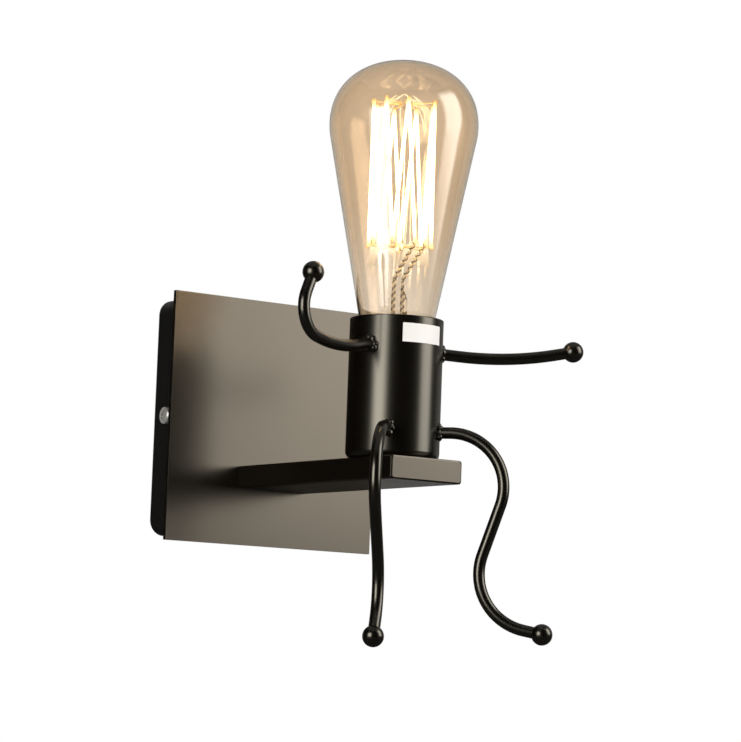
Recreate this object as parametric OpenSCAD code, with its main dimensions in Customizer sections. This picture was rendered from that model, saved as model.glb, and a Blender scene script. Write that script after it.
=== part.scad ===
// Wall sconce in the form of a small seated figure. A square face plate and its canopy pan hang on a
// wall bracket and carry a flat arm. A lamp cup with bent-rod limbs stands on the arm, and a pear-shaped
// filament bulb screws into the holder inside the cup.
// Millimetres. The origin is on the wall at the centre of the canopy, +Z is up and the front faces -Y.

/* [Canopy] */
// Width and height of the face plate
plate_w = 110; // [106:1:140]
// Thickness of the face plate
plate_t = 2; // [1.5:0.1:4]
// Width and height of the canopy pan
pan_w = 105; // [96:1:108]
// Depth of the canopy pan from the wall to the face plate
pan_depth = 15.5; // [15:0.5:26]
// Sheet thickness of the canopy pan
pan_wall = 1.2; // [0.8:0.1:2]
// Corner radius of the canopy pan
pan_corner_r = 7; // [4:0.5:16]
// Distance of the side screws from the wall
side_screw_y = 10; // [7:0.5:11]

/* [Wall bracket] */
// Width of the bracket strap
bracket_w = 20; // [14:1:26]
// Sheet thickness of the bracket
bracket_t = 1.5; // [1:0.1:2.5]
// Width of the bracket's end tabs
tab_w = 14; // [10:1:20]
// Distance between the two wall screw slots
slot_spacing = 60; // [40:1:70]
// Length of a wall screw slot, end to end
slot_len = 12; // [8:0.5:16]
// Width of a wall screw slot
slot_w = 5; // [4:0.1:6]

/* [Arm] */
// Width of the rectangular arm tube
arm_w = 37; // [33:1:60]
// Height of the rectangular arm tube
arm_h = 10; // [10:0.5:16]
// Wall thickness of the arm tube
arm_wall = 1.5; // [1:0.1:1.6]
// Length of the arm from the face plate to its front end
arm_len = 115; // [112:1:160]
// Distance from the centre of the plate down to the top of the arm
arm_drop = 20; // [18:1:30]
// Corner radius of the arm tube
arm_corner_r = 1; // [0.5:0.1:1.8]
// Thickness of the arm's front cap
arm_cap_t = 1.6; // [1:0.1:3]
// Depth of the tapped block in the arm's rear end
arm_block_len = 8; // [5:0.5:14]
// Distance between the two screws that hold the arm
arm_screw_spacing = 22; // [18:1:24]

/* [Lamp cup] */
// Distance from the arm's front end back to the axis of the lamp cup
cup_inset = 25; // [21:1:50]
// Outer diameter of the lamp cup
cup_d = 40; // [39:0.5:46]
// Height of the lamp cup
cup_h = 60; // [58:1:66]
// Wall thickness of the lamp cup
cup_wall = 1.2; // [0.8:0.1:1.4]
// Floor thickness of the lamp cup
cup_floor = 1.5; // [1:0.1:2.5]
// Radius of the lamp cup's lower edge
cup_edge_r = 3; // [1:0.2:4]
// Width of the label on the cup, along the curve
label_w = 20; // [10:1:40]
// Height of the label on the cup
label_h = 8; // [4:0.5:14]
// Distance from the cup's rim down to the label
label_drop = 3.5; // [1:0.5:8]

/* [Limbs] */
// Diameter of the limb rods
rod_d = 5; // [3:0.1:6]
// Diameter of the balls at the hands and feet
ball_d = 9; // [8:0.1:14]
// Angle of each arm from the front of the cup
hand_azimuth = 70; // [55:1:85]
// Angle of each leg from the front of the cup
foot_azimuth = 44; // [38:1:50]
// Height of the right arm's root above the centre of the plate
right_hand_z = 26.5; // [15:0.5:32]
// Height of the left arm's root above the centre of the plate
left_hand_z = 27.5; // [15:0.5:32]
// Height of the legs' roots, below the centre of the plate
leg_root_drop = 8; // [4:0.5:9]
// Radius of the bend at the hip and knee
hip_bend_r = 23; // [16:0.5:30]
// Radius of the bend at the ankle
ankle_bend_r = 24; // [16:0.5:30]
// Straight length of the shin between the two bends
shin_len = 22; // [12:0.5:40]

/* [Lamp holder] */
// Outer diameter of the ceramic holder
holder_d = 36; // [34:0.2:36.4]
// Height of the ceramic holder
holder_h = 37.5; // [34:0.5:38]
// Floor thickness of the ceramic holder
holder_floor = 8; // [6:0.5:9]
// Height of the bracket under the ceramic holder
holder_seat_h = 12; // [11:0.5:13]
// Thread diameter of the hollow nipple
nipple_d = 10; // [9:0.5:12]
// Bore of the hollow nipple
nipple_bore = 6.6; // [5.6:0.1:7]

/* [Bulb] */
// Largest diameter of the glass
bulb_d = 64; // [56:1:95]
// Length of the bulb from the tip contact to the top of the glass
bulb_len = 144; // [136:1:150]
// Distance from the top of the glass down to its widest place
dome_h = 28; // [24:0.5:36]
// Thickness of the glass
glass_t = 0.8; // [0.5:0.1:1.2]
// Outer diameter of the screw cap
cap_d = 26; // [25.4:0.1:26.4]
// Length of the screw cap with its tip contact
cap_len = 27; // [26:0.5:28]
// Radius of the filament cage
cage_r = 13.5; // [8:0.5:14]
// Number of filament loops
filament_loops = 8; // [4:1:10]
// Height of the filament cage
cage_h = 62; // [40:1:66]

/* [Wiring] */
// Diameter of an insulated wire
wire_d = 1.8; // [1:0.1:2]

/* [Hidden] */
$fn = 64;

// Clearances: thread or push fit, free fit of one piece inside another, drilled clearance hole, welded seat
thread_gap = 0.05;
loose_gap = 0.3;
hole_gap = 0.25;
weld_gap = 0.02;

// Metric screws: thread diameter, head diameter, head height
m4 = [4, 7.4, 2.6];
m3 = [3, 5.6, 2];
cross_w = 0.9;
cross_share = 0.55;

// Planes along Y, measured from the wall towards the front
pan_inner_y = -(pan_depth - pan_wall);
plate_back_y = -pan_depth;
plate_front_y = plate_back_y - plate_t;
cup_reach = arm_len - cup_inset;
cup_y = plate_front_y - cup_reach;

// Heights of the arm
arm_top_z = -arm_drop;
arm_mid_z = arm_top_z - arm_h / 2;
arm_in_w = arm_w - 2 * arm_wall;
arm_in_h = arm_h - 2 * arm_wall;

// Wire hole between the canopy and the arm
wire_hole_d = 8;
wire_bore_d = min(5.4, arm_in_h - 1.2);

// Lamp cup, nipple and holder, from the arm upwards
cup_r = cup_d / 2;
cup_floor_z = arm_top_z + cup_floor;
holder_sheet = 1.2;
nut_h = 2.5;
nut_flats = 14;
nipple_end = 0.8;
nipple_low_z = arm_top_z - arm_wall - nut_h - nipple_end / 2;
nipple_high_z = cup_floor_z + holder_sheet + nut_h + nipple_end;
holder_seat_z = cup_floor_z + holder_seat_h;
holder_floor_z = holder_seat_z + holder_floor;
holder_leg_x = 16;
holder_strap_w = 12;
holder_screw_x = 10.5;
terminal_y = 9;
terminal_size = [7, 7, 5];
terminal_wire_drop = 2.4;
terminal_bore = wire_d + 0.6;
shell_t = 0.5;
shell_r = cap_d / 2 + loose_gap;
rivet_d = 3;
rivet_head_d = 5;
rivet_head_h = 0.8;
contact_h = 6;
contact_t = 0.5;
contact_w = 6;
contact_gap = 0.2;

// Bulb, from the tip contact upwards
bulb_tip_z = holder_floor_z + contact_h + contact_gap;
glass_top_z = bulb_tip_z + bulb_len;
glass_wide_z = glass_top_z - dome_h;
cap_top_z = bulb_tip_z + cap_len;
cap_wall = 0.5;
neck_r = cap_d / 2 - cap_wall - 0.3;
neck_low_z = cap_top_z - 8;
shoulder_low_z = cap_top_z + 0.3;
shoulder_h = 6;
dome_power = 2.2;
dome_step = 3;
cone_slope = 0.195;
cone_blend = 5;
tip_r = 4.8;
tip_h = 1.6;
tip_ease = 1.4;
tip_round_share = 0.6;
insulator_low_r = 5.6;
insulator_high_r = 9.2;
insulator_h = 5;
cage_top_drop = 18;
cage_top_z = glass_top_z - cage_top_drop;
cage_low_z = cage_top_z - cage_h;
cage_gap_angle = 24;
cage_gap_side = -86;
filament_d = 1;
support_d = 0.5;
lead_d = 0.6;
lead_x = 2.2;
stem_rod_r = 1.4;
stem_press_r = 4.2;
stem_wall = 1;
stem_bead_r = 2.4;
press_rise = 9;
press_h = 13;
press_shoulder = 2;
flare_drop = 3;
flare_hollow_drop = 5;
lead_rise = 1;
press_low_z = cap_top_z + press_rise;
press_high_z = press_low_z + press_h;

// Limbs: height of the root, tilt at the root, and steps of straight length, bend radius and bend angle.
// A positive bend turns the rod upwards. The last straight ends at the centre of the ball.
rod_root_depth = 2;
bend_swell = 0.02;
bend_slip = 0.3;
ball_bite = 3.5;
bead_d = 1.8;
right_arm_path = [[8.5, 165, 15.2], [8.1, 0, 0]];
left_arm_path = [[8.6, 75, 23.4], [0, 12, 104.4], [9.8, 0, 0]];
right_leg_path = [[4.8, hip_bend_r, -109], [shin_len, ankle_bend_r, 97.3], [8, 0, 0]];
left_leg_path = [[5.2, hip_bend_r, -124.4], [shin_len, ankle_bend_r, 68.2], [8, 0, 0]];
right_arm_tilt = -2.8;
left_arm_tilt = -11.4;
right_leg_tilt = 0.7;
left_leg_tilt = 1;

// Terminal block inside the canopy
block_size = [26, 12, 14];
block_low_z = bracket_w / 2 + 4;
block_pitch = 8;
block_bore_y = pan_inner_y + 6;
insert_d = 4.4;
insert_bore = wire_d + 0.8;
clamp_d = 2.5;
clamp_inset = 3.5;
block_mid_z = block_low_z + block_size[2] / 2;

// Earth screw and its ring terminal
earth_inset = 20.5;
earth_x = pan_w / 2 - earth_inset;
earth_z = block_low_z + 4;
earth_plate_depth = plate_t - 0.8;
ring_t = 0.8;
ring_d = 8;
barrel_len = 6;
barrel_d = wire_d + 1.2;

// Wires: how far they drop below the terminal block, how the earth wire leads and sags to its ring,
// how far the lamp wires swing round the grommet, and how they settle on the arm's floor
wire_drop = 5;
earth_lead = 4;
earth_sag = 7;
wire_swing = 6;
wire_settle = 10;
wire_floor_gap = 0.35;
wire_lane_gap = 0.4;

// Unit vector from one point to another
function unit(v) = v / norm(v);

// Rounds a route by cutting each corner, and keeps its two ends
function cut_corners(p) = concat(
    [p[0]],
    [for (i = [0 : len(p) - 2]) each [0.75 * p[i] + 0.25 * p[i + 1], 0.25 * p[i] + 0.75 * p[i + 1]]],
    [p[len(p) - 1]]
);

// Direction of a route at each of its points
function headings(p) = [
    for (i = [0 : len(p) - 1]) unit(p[min(i + 1, len(p) - 1)] - p[max(i - 1, 0)])
];

// Side vectors that are carried along a route without twist
function carry(side, dir) = unit(side - (side * dir) * dir);
function side_vectors(dirs, i, sides) = i == len(dirs)
    ? sides
    : side_vectors(dirs, i + 1, concat(sides, [carry(sides[i - 1], dirs[i])]));

// A round wire of diameter d along the points of a route
module wire_along(route, d, sides) {
    dirs = headings(route);
    first = carry(abs(dirs[0][2]) < 0.9 ? [0, 0, 1] : [1, 0, 0], dirs[0]);
    across = side_vectors(dirs, 1, [first]);
    rings = len(route);
    points = [
        for (i = [0 : rings - 1], k = [0 : sides - 1])
            route[i] + d / 2 * (cos(360 * k / sides) * across[i]
                + sin(360 * k / sides) * cross(dirs[i], across[i]))
    ];
    skin = [
        for (i = [0 : rings - 2], k = [0 : sides - 1])
            let (a = i * sides + k, b = i * sides + (k + 1) % sides)
                each [[a, a + sides, b + sides], [a, b + sides, b]]
    ];
    caps = [
        for (k = [1 : sides - 2])
            each [[0, k, k + 1], [(rings - 1) * sides, (rings - 1) * sides + k + 1, (rings - 1) * sides + k]]
    ];
    polyhedron(points, concat(skin, caps), convexity = 10);
}

// A straight round rod between two points
module rod_between(p, q, d) {
    v = q - p;
    translate(p)
        rotate([0, acos(v[2] / norm(v)), atan2(v[1], v[0])])
            cylinder(d = d, h = norm(v));
}

// A rectangle with round corners
module rounded_rectangle(w, h, r) {
    square([w - 2 * r, h], center = true);
    square([w, h - 2 * r], center = true);
    for (x = [-1, 1], y = [-1, 1])
        translate([x * (w / 2 - r), y * (h / 2 - r)]) circle(r);
}

// A plate in the X-Z plane that reaches from y = 0 towards the front
module plate_forward(depth) {
    rotate([90, 0, 0]) linear_extrude(depth) children();
}

// Children are turned so that their +Z points to the wall
module facing_wall() {
    rotate([-90, 0, 0]) children();
}

// A pan-head screw with a cross recess: the head stands on z = 0 and the shank goes down
module pan_head_screw(size, length) {
    d = size[0];
    head_d = size[1];
    head_h = size[2];
    dome_h = head_h * 0.45;
    dome_r = (pow(head_d / 2, 2) + pow(dome_h, 2)) / (2 * dome_h);
    difference() {
        union() {
            cylinder(d = head_d, h = head_h - dome_h);
            intersection() {
                translate([0, 0, head_h - dome_r]) sphere(dome_r);
                cylinder(d = head_d, h = head_h);
            }
        }
        for (a = [0, 90])
            rotate([0, 0, a])
                translate([-head_d * cross_share / 2, -cross_w / 2, head_h * 0.4])
                    cube([head_d * cross_share, cross_w, head_h]);
    }
    translate([0, 0, -length]) cylinder(d = d, h = length);
}

// A rod of diameter d along steps of straight length, bend radius and bend angle, in the X-Z plane.
// The straights are thinner than the bends by a hair and slip into them a little
module bent_rod(d, steps, i = 0) {
    if (i < len(steps)) {
        run = steps[i][0];
        bend_r = steps[i][1];
        bend = steps[i][2];
        slip_before = i == 0 ? 0 : bend_slip;
        slip_after = bend == 0 ? 0 : bend_slip;
        translate([-slip_before, 0, 0])
            rotate([0, 90, 0]) cylinder(d = d - bend_swell, h = run + slip_before + slip_after);
        if (bend != 0)
            translate([run, 0, 0])
                mirror([0, 0, bend < 0 ? 1 : 0])
                    translate([0, 0, bend_r])
                        rotate([90, 0, 0])
                            rotate([0, 0, -90])
                                rotate_extrude(angle = abs(bend)) translate([bend_r, 0]) circle(d = d);
        after_step(steps[i]) bent_rod(d, steps, i + 1);
    }
}

// Places its children at the end of one step of a bent rod
module after_step(step) {
    side = sign(step[2]);
    bend = abs(step[2]);
    translate([step[0] + step[1] * sin(bend), 0, side * step[1] * (1 - cos(bend))])
        rotate([0, -step[2], 0]) children();
}

// Places its children at the end of all the steps of a bent rod
module at_rod_end(steps, i = 0) {
    if (i < len(steps)) after_step(steps[i]) at_rod_end(steps, i + 1) children();
    else children();
}

// Places its children at a limb's root on the cup, with +X pointing out of the cup
module at_limb_root(azimuth, z, tilt) {
    translate([0, cup_y, z])
        rotate([0, 0, azimuth - 90])
            translate([cup_r, 0, 0])
                rotate([0, -tilt, 0]) children();
}

// One limb: a bent rod with a weld bead at its root, cut to the cup's curve, its end set in a ball
module limb_rod(azimuth, z, tilt, path) {
    last = len(path) - 1;
    rod_end = path[last][0] - (ball_d / 2 - ball_bite);
    first_run = path[0][0] + rod_root_depth;
    steps = [
        for (i = [0 : last])
            [i == 0 ? first_run : i == last ? rod_end : path[i][0], path[i][1], path[i][2]]
    ];
    color("#1b1a19")
        difference() {
            at_limb_root(azimuth, z, tilt) {
                translate([-rod_root_depth, 0, 0]) bent_rod(rod_d, steps);
                rotate([0, 90, 0]) rotate_extrude() translate([rod_d / 2 - bead_d / 6, 0]) circle(d = bead_d);
            }
            translate([0, cup_y, arm_top_z]) cylinder(r = cup_r + weld_gap, h = cup_h, $fn = 96);
        }
}

// The ball at the end of a limb, bored for the rod
module limb_ball(azimuth, z, tilt, path) {
    color("#161514")
        at_limb_root(azimuth, z, tilt)
            at_rod_end(path)
                difference() {
                    sphere(d = ball_d);
                    translate([-ball_d, 0, 0])
                        rotate([0, 90, 0])
                            cylinder(d = rod_d + 2 * thread_gap, h = ball_d / 2 + ball_bite + thread_gap);
                }
}

module wall_bracket() {
    half = pan_w / 2 - pan_wall - loose_gap;
    tab_reach = pan_depth - pan_wall - 0.8;
    color("silver")
        difference() {
            union() {
                translate([-half, -bracket_t, -bracket_w / 2]) cube([2 * half, bracket_t, bracket_w]);
                for (side = [0, 1])
                    mirror([side, 0, 0])
                        translate([half - bracket_t, -tab_reach, -tab_w / 2])
                            cube([bracket_t, tab_reach, tab_w]);
            }
            for (x = [-1, 1] * slot_spacing / 2)
                plate_slot(x);
            translate([-pan_w / 2, -side_screw_y, 0])
                rotate([0, 90, 0]) cylinder(d = m4[0] + 2 * thread_gap, h = pan_w);
        }
}

// One slot through the bracket strap for a wall screw
module plate_slot(x) {
    run = slot_len - slot_w;
    for (end = [-1, 1] * run / 2)
        translate([x + end, 1, 0]) rotate([90, 0, 0]) cylinder(d = slot_w, h = bracket_t + 2);
    translate([x - run / 2, -bracket_t - 1, -slot_w / 2]) cube([run, bracket_t + 2, slot_w]);
}

// Holes that pass through the pan and the face plate towards the arm
module arm_holes(depth) {
    for (x = [-1, 1] * arm_screw_spacing / 2)
        translate([x, 1, arm_mid_z]) rotate([90, 0, 0]) cylinder(d = m4[0] + 2 * hole_gap, h = depth + 2);
    translate([0, 1, arm_mid_z]) rotate([90, 0, 0]) cylinder(d = wire_hole_d, h = depth + 2);
}

// Tapped hole for the earth screw through the pan and part of the face plate
module earth_hole() {
    translate([earth_x, pan_inner_y + 1, earth_z])
        rotate([90, 0, 0])
            cylinder(d = m4[0] + 2 * thread_gap, h = 1 + pan_wall + earth_plate_depth + thread_gap);
}

module canopy_pan() {
    inner_w = pan_w - 2 * pan_wall;
    color("#151515")
        difference() {
            plate_forward(pan_depth) rounded_rectangle(pan_w, pan_w, pan_corner_r);
            translate([0, 1, 0])
                plate_forward(pan_depth - pan_wall + 1)
                    rounded_rectangle(inner_w, inner_w, pan_corner_r - pan_wall);
            arm_holes(pan_depth);
            earth_hole();
            for (x = [-1, 1] * block_pitch / 2)
                translate([x, 0, block_mid_z])
                    rotate([90, 0, 0]) cylinder(d = m3[0] + 2 * thread_gap, h = pan_depth + 1);
            translate([-pan_w, -side_screw_y, 0])
                rotate([0, 90, 0]) cylinder(d = m4[0] + 2 * hole_gap, h = 2 * pan_w);
        }
}

module canopy_side_screws() {
    color("gainsboro")
        for (side = [-1, 1])
            translate([side * pan_w / 2, -side_screw_y, 0])
                rotate([0, side * 90, 0])
                    rotate([0, 0, 45]) pan_head_screw(m4, pan_wall + loose_gap + bracket_t + 2);
}

module face_plate() {
    color("#6b645a")
        difference() {
            translate([0, plate_back_y, 0])
                difference() {
                    plate_forward(plate_t) square(plate_w, center = true);
                    arm_holes(plate_t);
                }
            earth_hole();
        }
}

module arm_fixing_screws() {
    grip = pan_wall + plate_t;
    color("silver")
        for (x = [-1, 1] * arm_screw_spacing / 2)
            translate([x, pan_inner_y, arm_mid_z])
                facing_wall() pan_head_screw(m4, grip + arm_block_len - 1);
}

module wire_grommet() {
    flange_d = wire_hole_d + 3.6;
    flange_t = 1.2;
    color("#222222")
        translate([0, pan_inner_y, arm_mid_z])
            facing_wall()
                difference() {
                    union() {
                        cylinder(d = flange_d, h = flange_t);
                        translate([0, 0, -pan_wall - plate_t])
                            cylinder(d = wire_hole_d - 2 * thread_gap, h = pan_wall + plate_t);
                    }
                    translate([0, 0, -pan_depth]) cylinder(d = wire_bore_d, h = 2 * pan_depth);
                }
}

module terminal_block() {
    color("ivory")
        difference() {
            translate([-block_size[0] / 2, pan_inner_y, block_low_z]) cube(block_size);
            for (i = [-1, 0, 1]) {
                translate([i * block_pitch, block_bore_y, block_low_z - 1])
                    cylinder(d = insert_d + 2 * thread_gap, h = block_size[2] + 2);
                for (z = clamp_heights())
                    translate([i * block_pitch, block_bore_y, z])
                        facing_wall() cylinder(d = clamp_d + 2 * thread_gap, h = block_size[1]);
            }
            for (x = [-1, 1] * block_pitch / 2)
                translate([x, pan_inner_y - 1, block_mid_z])
                    facing_wall() {
                        cylinder(d = m3[0] + 2 * thread_gap, h = block_size[1] + 2);
                        translate([0, 0, fixing_head_y() + 1])
                            cylinder(d = m3[0] + 2 * hole_gap, h = block_size[1]);
                    }
        }
}

// Heights of the two clamp screws of each way of the terminal block
function clamp_heights() = [block_low_z + clamp_inset, block_low_z + block_size[2] - clamp_inset];

// Distance from the pan to the countersunk seat of the block's fixing screws
function fixing_head_y() = block_size[1] - 3;

module terminal_inserts() {
    color("goldenrod")
        for (i = [-1, 0, 1])
            translate([i * block_pitch, block_bore_y, block_low_z])
                difference() {
                    cylinder(d = insert_d, h = block_size[2]);
                    translate([0, 0, -1]) cylinder(d = insert_bore, h = block_size[2] + 2);
                    for (z = clamp_heights())
                        translate([0, 0, z - block_low_z])
                            facing_wall() cylinder(d = clamp_d + 2 * thread_gap, h = insert_d);
                }
}

module terminal_clamp_screws() {
    screw_len = 4;
    slot_depth = 0.8;
    color("silver")
        for (i = [-1, 0, 1], z = clamp_heights())
            translate([i * block_pitch, block_bore_y + wire_d / 2 + thread_gap, z])
                facing_wall()
                    difference() {
                        cylinder(d = clamp_d, h = screw_len);
                        translate([-clamp_d, -0.25, screw_len - slot_depth]) cube([2 * clamp_d, 0.5, clamp_d]);
                    }
}

module terminal_fixing_screws() {
    slot_depth = 0.8;
    color("silver")
        for (x = [-1, 1] * block_pitch / 2)
            translate([x, pan_inner_y, block_mid_z])
                facing_wall()
                    difference() {
                        union() {
                            translate([0, 0, -pan_wall]) cylinder(d = m3[0], h = fixing_head_y() + pan_wall);
                            translate([0, 0, fixing_head_y()])
                                cylinder(d = m3[0] + 2 * hole_gap - 2 * thread_gap, h = 2);
                        }
                        translate([-m3[0], -0.3, fixing_head_y() + 2 - slot_depth]) cube([2 * m3[0], 0.6, 2]);
                    }
}

module earth_screw() {
    color("silver")
        translate([earth_x, pan_inner_y + ring_t, earth_z])
            facing_wall() pan_head_screw(m4, ring_t + pan_wall + earth_plate_depth);
}

module earth_ring_terminal() {
    barrel_x = -ring_d / 2;
    color("lightgray")
        translate([earth_x, pan_inner_y, earth_z])
            facing_wall()
                difference() {
                    union() {
                        cylinder(d = ring_d, h = ring_t);
                        translate([barrel_x, 0, barrel_d / 2])
                            rotate([0, -90, 0]) cylinder(d = barrel_d, h = barrel_len);
                        translate([barrel_x - 1, -barrel_d / 2, 0]) cube([2, barrel_d, ring_t]);
                    }
                    translate([0, 0, -1]) cylinder(d = m4[0] + 2 * hole_gap, h = ring_t + 2);
                    translate([barrel_x - 0.5, 0, barrel_d / 2])
                        rotate([0, -90, 0]) cylinder(d = wire_d + 2 * thread_gap, h = barrel_len);
                }
}

module support_arm() {
    tube_len = arm_len - arm_cap_t;
    color("#3b3733")
        translate([0, plate_front_y, arm_mid_z])
            difference() {
                plate_forward(tube_len) rounded_rectangle(arm_w, arm_h, arm_corner_r);
                translate([0, 1, 0]) plate_forward(tube_len + 2) square([arm_in_w, arm_in_h], center = true);
                translate([0, -cup_reach, 0]) cylinder(d = nipple_d + 2 * hole_gap, h = arm_h);
            }
}

module arm_rear_block() {
    color("silver")
        translate([0, plate_front_y, arm_mid_z])
            difference() {
                plate_forward(arm_block_len)
                    square([arm_in_w - 2 * thread_gap, arm_in_h - 2 * thread_gap], center = true);
                for (x = [-1, 1] * arm_screw_spacing / 2)
                    translate([x, 1, 0])
                        rotate([90, 0, 0]) cylinder(d = m4[0] + 2 * thread_gap, h = arm_block_len + 2);
                translate([0, 1, 0]) rotate([90, 0, 0]) cylinder(d = wire_bore_d, h = arm_block_len + 2);
            }
}

module arm_front_cap() {
    ease = 0.7;
    color("#3b3733")
        translate([0, plate_front_y - arm_len + arm_cap_t, arm_mid_z])
            rotate([90, 0, 0])
                hull() {
                    linear_extrude(arm_cap_t - ease) rounded_rectangle(arm_w, arm_h, arm_corner_r, $fn = 32);
                    linear_extrude(arm_cap_t - ease * 0.3)
                        rounded_rectangle(arm_w - ease * 0.6, arm_h - ease * 0.6, arm_corner_r, $fn = 32);
                    linear_extrude(arm_cap_t)
                        rounded_rectangle(arm_w - 2 * ease, arm_h - 2 * ease, arm_corner_r, $fn = 32);
                }
}

module lamp_cup() {
    rim_r = cup_wall * 0.35;
    color("#2a2522")
        translate([0, cup_y, arm_top_z])
            difference() {
                rotate_extrude($fn = 96)
                    difference() {
                        union() {
                            square([cup_r - cup_edge_r, cup_h - rim_r]);
                            translate([0, cup_edge_r]) square([cup_r, cup_h - rim_r - cup_edge_r]);
                            translate([cup_r - cup_edge_r, cup_edge_r])
                                intersection() {
                                    circle(cup_edge_r);
                                    translate([0, -cup_edge_r]) square(2 * cup_edge_r);
                                }
                            translate([0, cup_h - 2 * rim_r]) square([cup_r - rim_r, 2 * rim_r]);
                            translate([cup_r - rim_r, cup_h - rim_r])
                                intersection() {
                                    circle(rim_r);
                                    square(2 * rim_r);
                                }
                        }
                        translate([-1, cup_floor]) square([cup_r - cup_wall + 1, cup_h]);
                    }
                translate([0, 0, -1]) cylinder(d = nipple_d + 2 * hole_gap, h = cup_floor + 2);
            }
}

module blank_label() {
    label_t = 0.12;
    sweep = label_w / cup_r * 180 / PI;
    color("white")
        translate([0, cup_y, arm_top_z + cup_h - label_drop - label_h])
            rotate([0, 0, -90 - sweep / 2])
                rotate_extrude(angle = sweep, $fn = 96)
                    translate([cup_r + weld_gap, 0]) square([label_t, label_h]);
}

module threaded_nipple() {
    length = nipple_high_z - nipple_low_z;
    color("silver")
        translate([0, cup_y, nipple_low_z])
            difference() {
                cylinder(d = nipple_d, h = length);
                translate([0, 0, -1]) cylinder(d = nipple_bore, h = length + 2);
            }
}

module nipple_nuts() {
    low_z = arm_top_z - arm_wall - nut_h;
    high_z = cup_floor_z + holder_sheet;
    color("silver")
        for (z = [low_z, high_z])
            translate([0, cup_y, z])
                difference() {
                    rotate([0, 0, 30]) cylinder(d = nut_flats / cos(30), h = nut_h, $fn = 6);
                    translate([0, 0, -1]) cylinder(d = nipple_d + 2 * thread_gap, h = nut_h + 2);
                }
}

module holder_bracket() {
    flange_x = holder_screw_x - 3.5;
    color("gainsboro")
        translate([0, cup_y, cup_floor_z])
            difference() {
                translate([0, holder_strap_w / 2, 0])
                    rotate([90, 0, 0])
                        linear_extrude(holder_strap_w) {
                            translate([-holder_leg_x, 0]) square([2 * holder_leg_x, holder_sheet]);
                            for (side = [0, 1])
                                mirror([side, 0]) {
                                    translate([holder_leg_x - holder_sheet, 0])
                                        square([holder_sheet, holder_seat_h]);
                                    translate([flange_x, holder_seat_h - holder_sheet])
                                        square([holder_leg_x - flange_x, holder_sheet]);
                                }
                        }
                translate([0, 0, -1]) cylinder(d = nipple_d + 2 * hole_gap, h = holder_sheet + 2);
                for (x = [-1, 1] * holder_screw_x)
                    translate([x, 0, holder_seat_h / 2]) cylinder(d = m3[0] + 2 * hole_gap, h = holder_seat_h);
            }
}

module holder_bracket_screws() {
    color("silver")
        for (x = [-1, 1] * holder_screw_x)
            translate([x, cup_y, holder_seat_z - holder_sheet])
                rotate([180, 0, 0]) pan_head_screw(m3, holder_sheet + holder_floor - 3);
}

module holder_body() {
    color("whitesmoke")
        translate([0, cup_y, holder_seat_z])
            difference() {
                cylinder(d = holder_d, h = holder_h, $fn = 96);
                translate([0, 0, holder_floor]) cylinder(r = shell_r + shell_t + thread_gap, h = holder_h, $fn = 96);
                for (y = [-1, 1] * terminal_y)
                    translate([0, y, -1]) cylinder(d = rivet_d + 2 * thread_gap, h = holder_floor + 2);
                for (x = [-1, 1] * holder_screw_x)
                    translate([x, 0, -1]) cylinder(d = m3[0] + 2 * thread_gap, h = holder_floor - 1);
            }
}

module holder_screw_shell() {
    shell_h = holder_h - holder_floor - 2;
    floor_hole_r = 7.5;
    color("goldenrod")
        translate([0, cup_y, holder_floor_z])
            difference() {
                union() {
                    difference() {
                        cylinder(r = shell_r + shell_t, h = shell_h, $fn = 96);
                        translate([0, 0, shell_t]) cylinder(r = shell_r, h = shell_h, $fn = 96);
                        translate([0, 0, -1]) cylinder(r = floor_hole_r, h = shell_h);
                        translate([-shell_r, 0, -1]) cube([2 * shell_r, shell_r, shell_t + 1]);
                    }
                    translate([-2.5, -terminal_y - 2.5, 0]) cube([5, 5, shell_t]);
                }
                translate([0, -terminal_y, -1]) cylinder(d = rivet_d + 2 * thread_gap, h = shell_t + 2);
            }
}

module holder_centre_contact() {
    tail = terminal_y + 2.5;
    rise = contact_h - contact_t;
    color("goldenrod")
        translate([0, cup_y, holder_floor_z])
            difference() {
                translate([-contact_w / 2, 0, 0])
                    rotate([90, 0, 90])
                        linear_extrude(contact_w)
                            polygon([
                                [tail, 0], [tail, contact_t], [5, contact_t], [2.6, rise + contact_t],
                                [-3, rise + contact_t], [-4.4, rise - 0.8], [-4.4, rise - 1.6],
                                [-2.8, rise], [2.2, rise], [4.7, 0]
                            ]);
                translate([0, terminal_y, -1]) cylinder(d = rivet_d + 2 * thread_gap, h = contact_h);
            }
}

module holder_rivets() {
    color("darkgoldenrod")
        for (rivet = [[-terminal_y, shell_t], [terminal_y, contact_t]])
            translate([0, cup_y + rivet[0], holder_seat_z]) {
                cylinder(d = rivet_d, h = holder_floor + rivet[1]);
                translate([0, 0, holder_floor + rivet[1]]) cylinder(d = rivet_head_d, h = rivet_head_h);
            }
}

module holder_terminals() {
    wire_z = holder_seat_z - terminal_wire_drop;
    color("goldenrod")
        for (side = [-1, 1])
            difference() {
                translate([0, cup_y + side * terminal_y, holder_seat_z - terminal_size[2] / 2])
                    cube(terminal_size, center = true);
                translate([0, cup_y, wire_z])
                    rotate([side * -90, 0, 0]) cylinder(d = terminal_bore, h = terminal_y + 2);
                translate([0, cup_y + side * terminal_y, holder_seat_z - terminal_size[2] - 1])
                    cylinder(d = m3[0] + 2 * thread_gap, h = terminal_size[2] - terminal_wire_drop + 1);
            }
}

module holder_terminal_screws() {
    low_z = holder_seat_z - terminal_size[2];
    screw_top = holder_seat_z - terminal_wire_drop - wire_d / 2 - thread_gap;
    color("silver")
        for (side = [-1, 1])
            translate([0, cup_y + side * terminal_y, low_z])
                rotate([180, 0, 0]) pan_head_screw(m3, screw_top - low_z);
}

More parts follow.
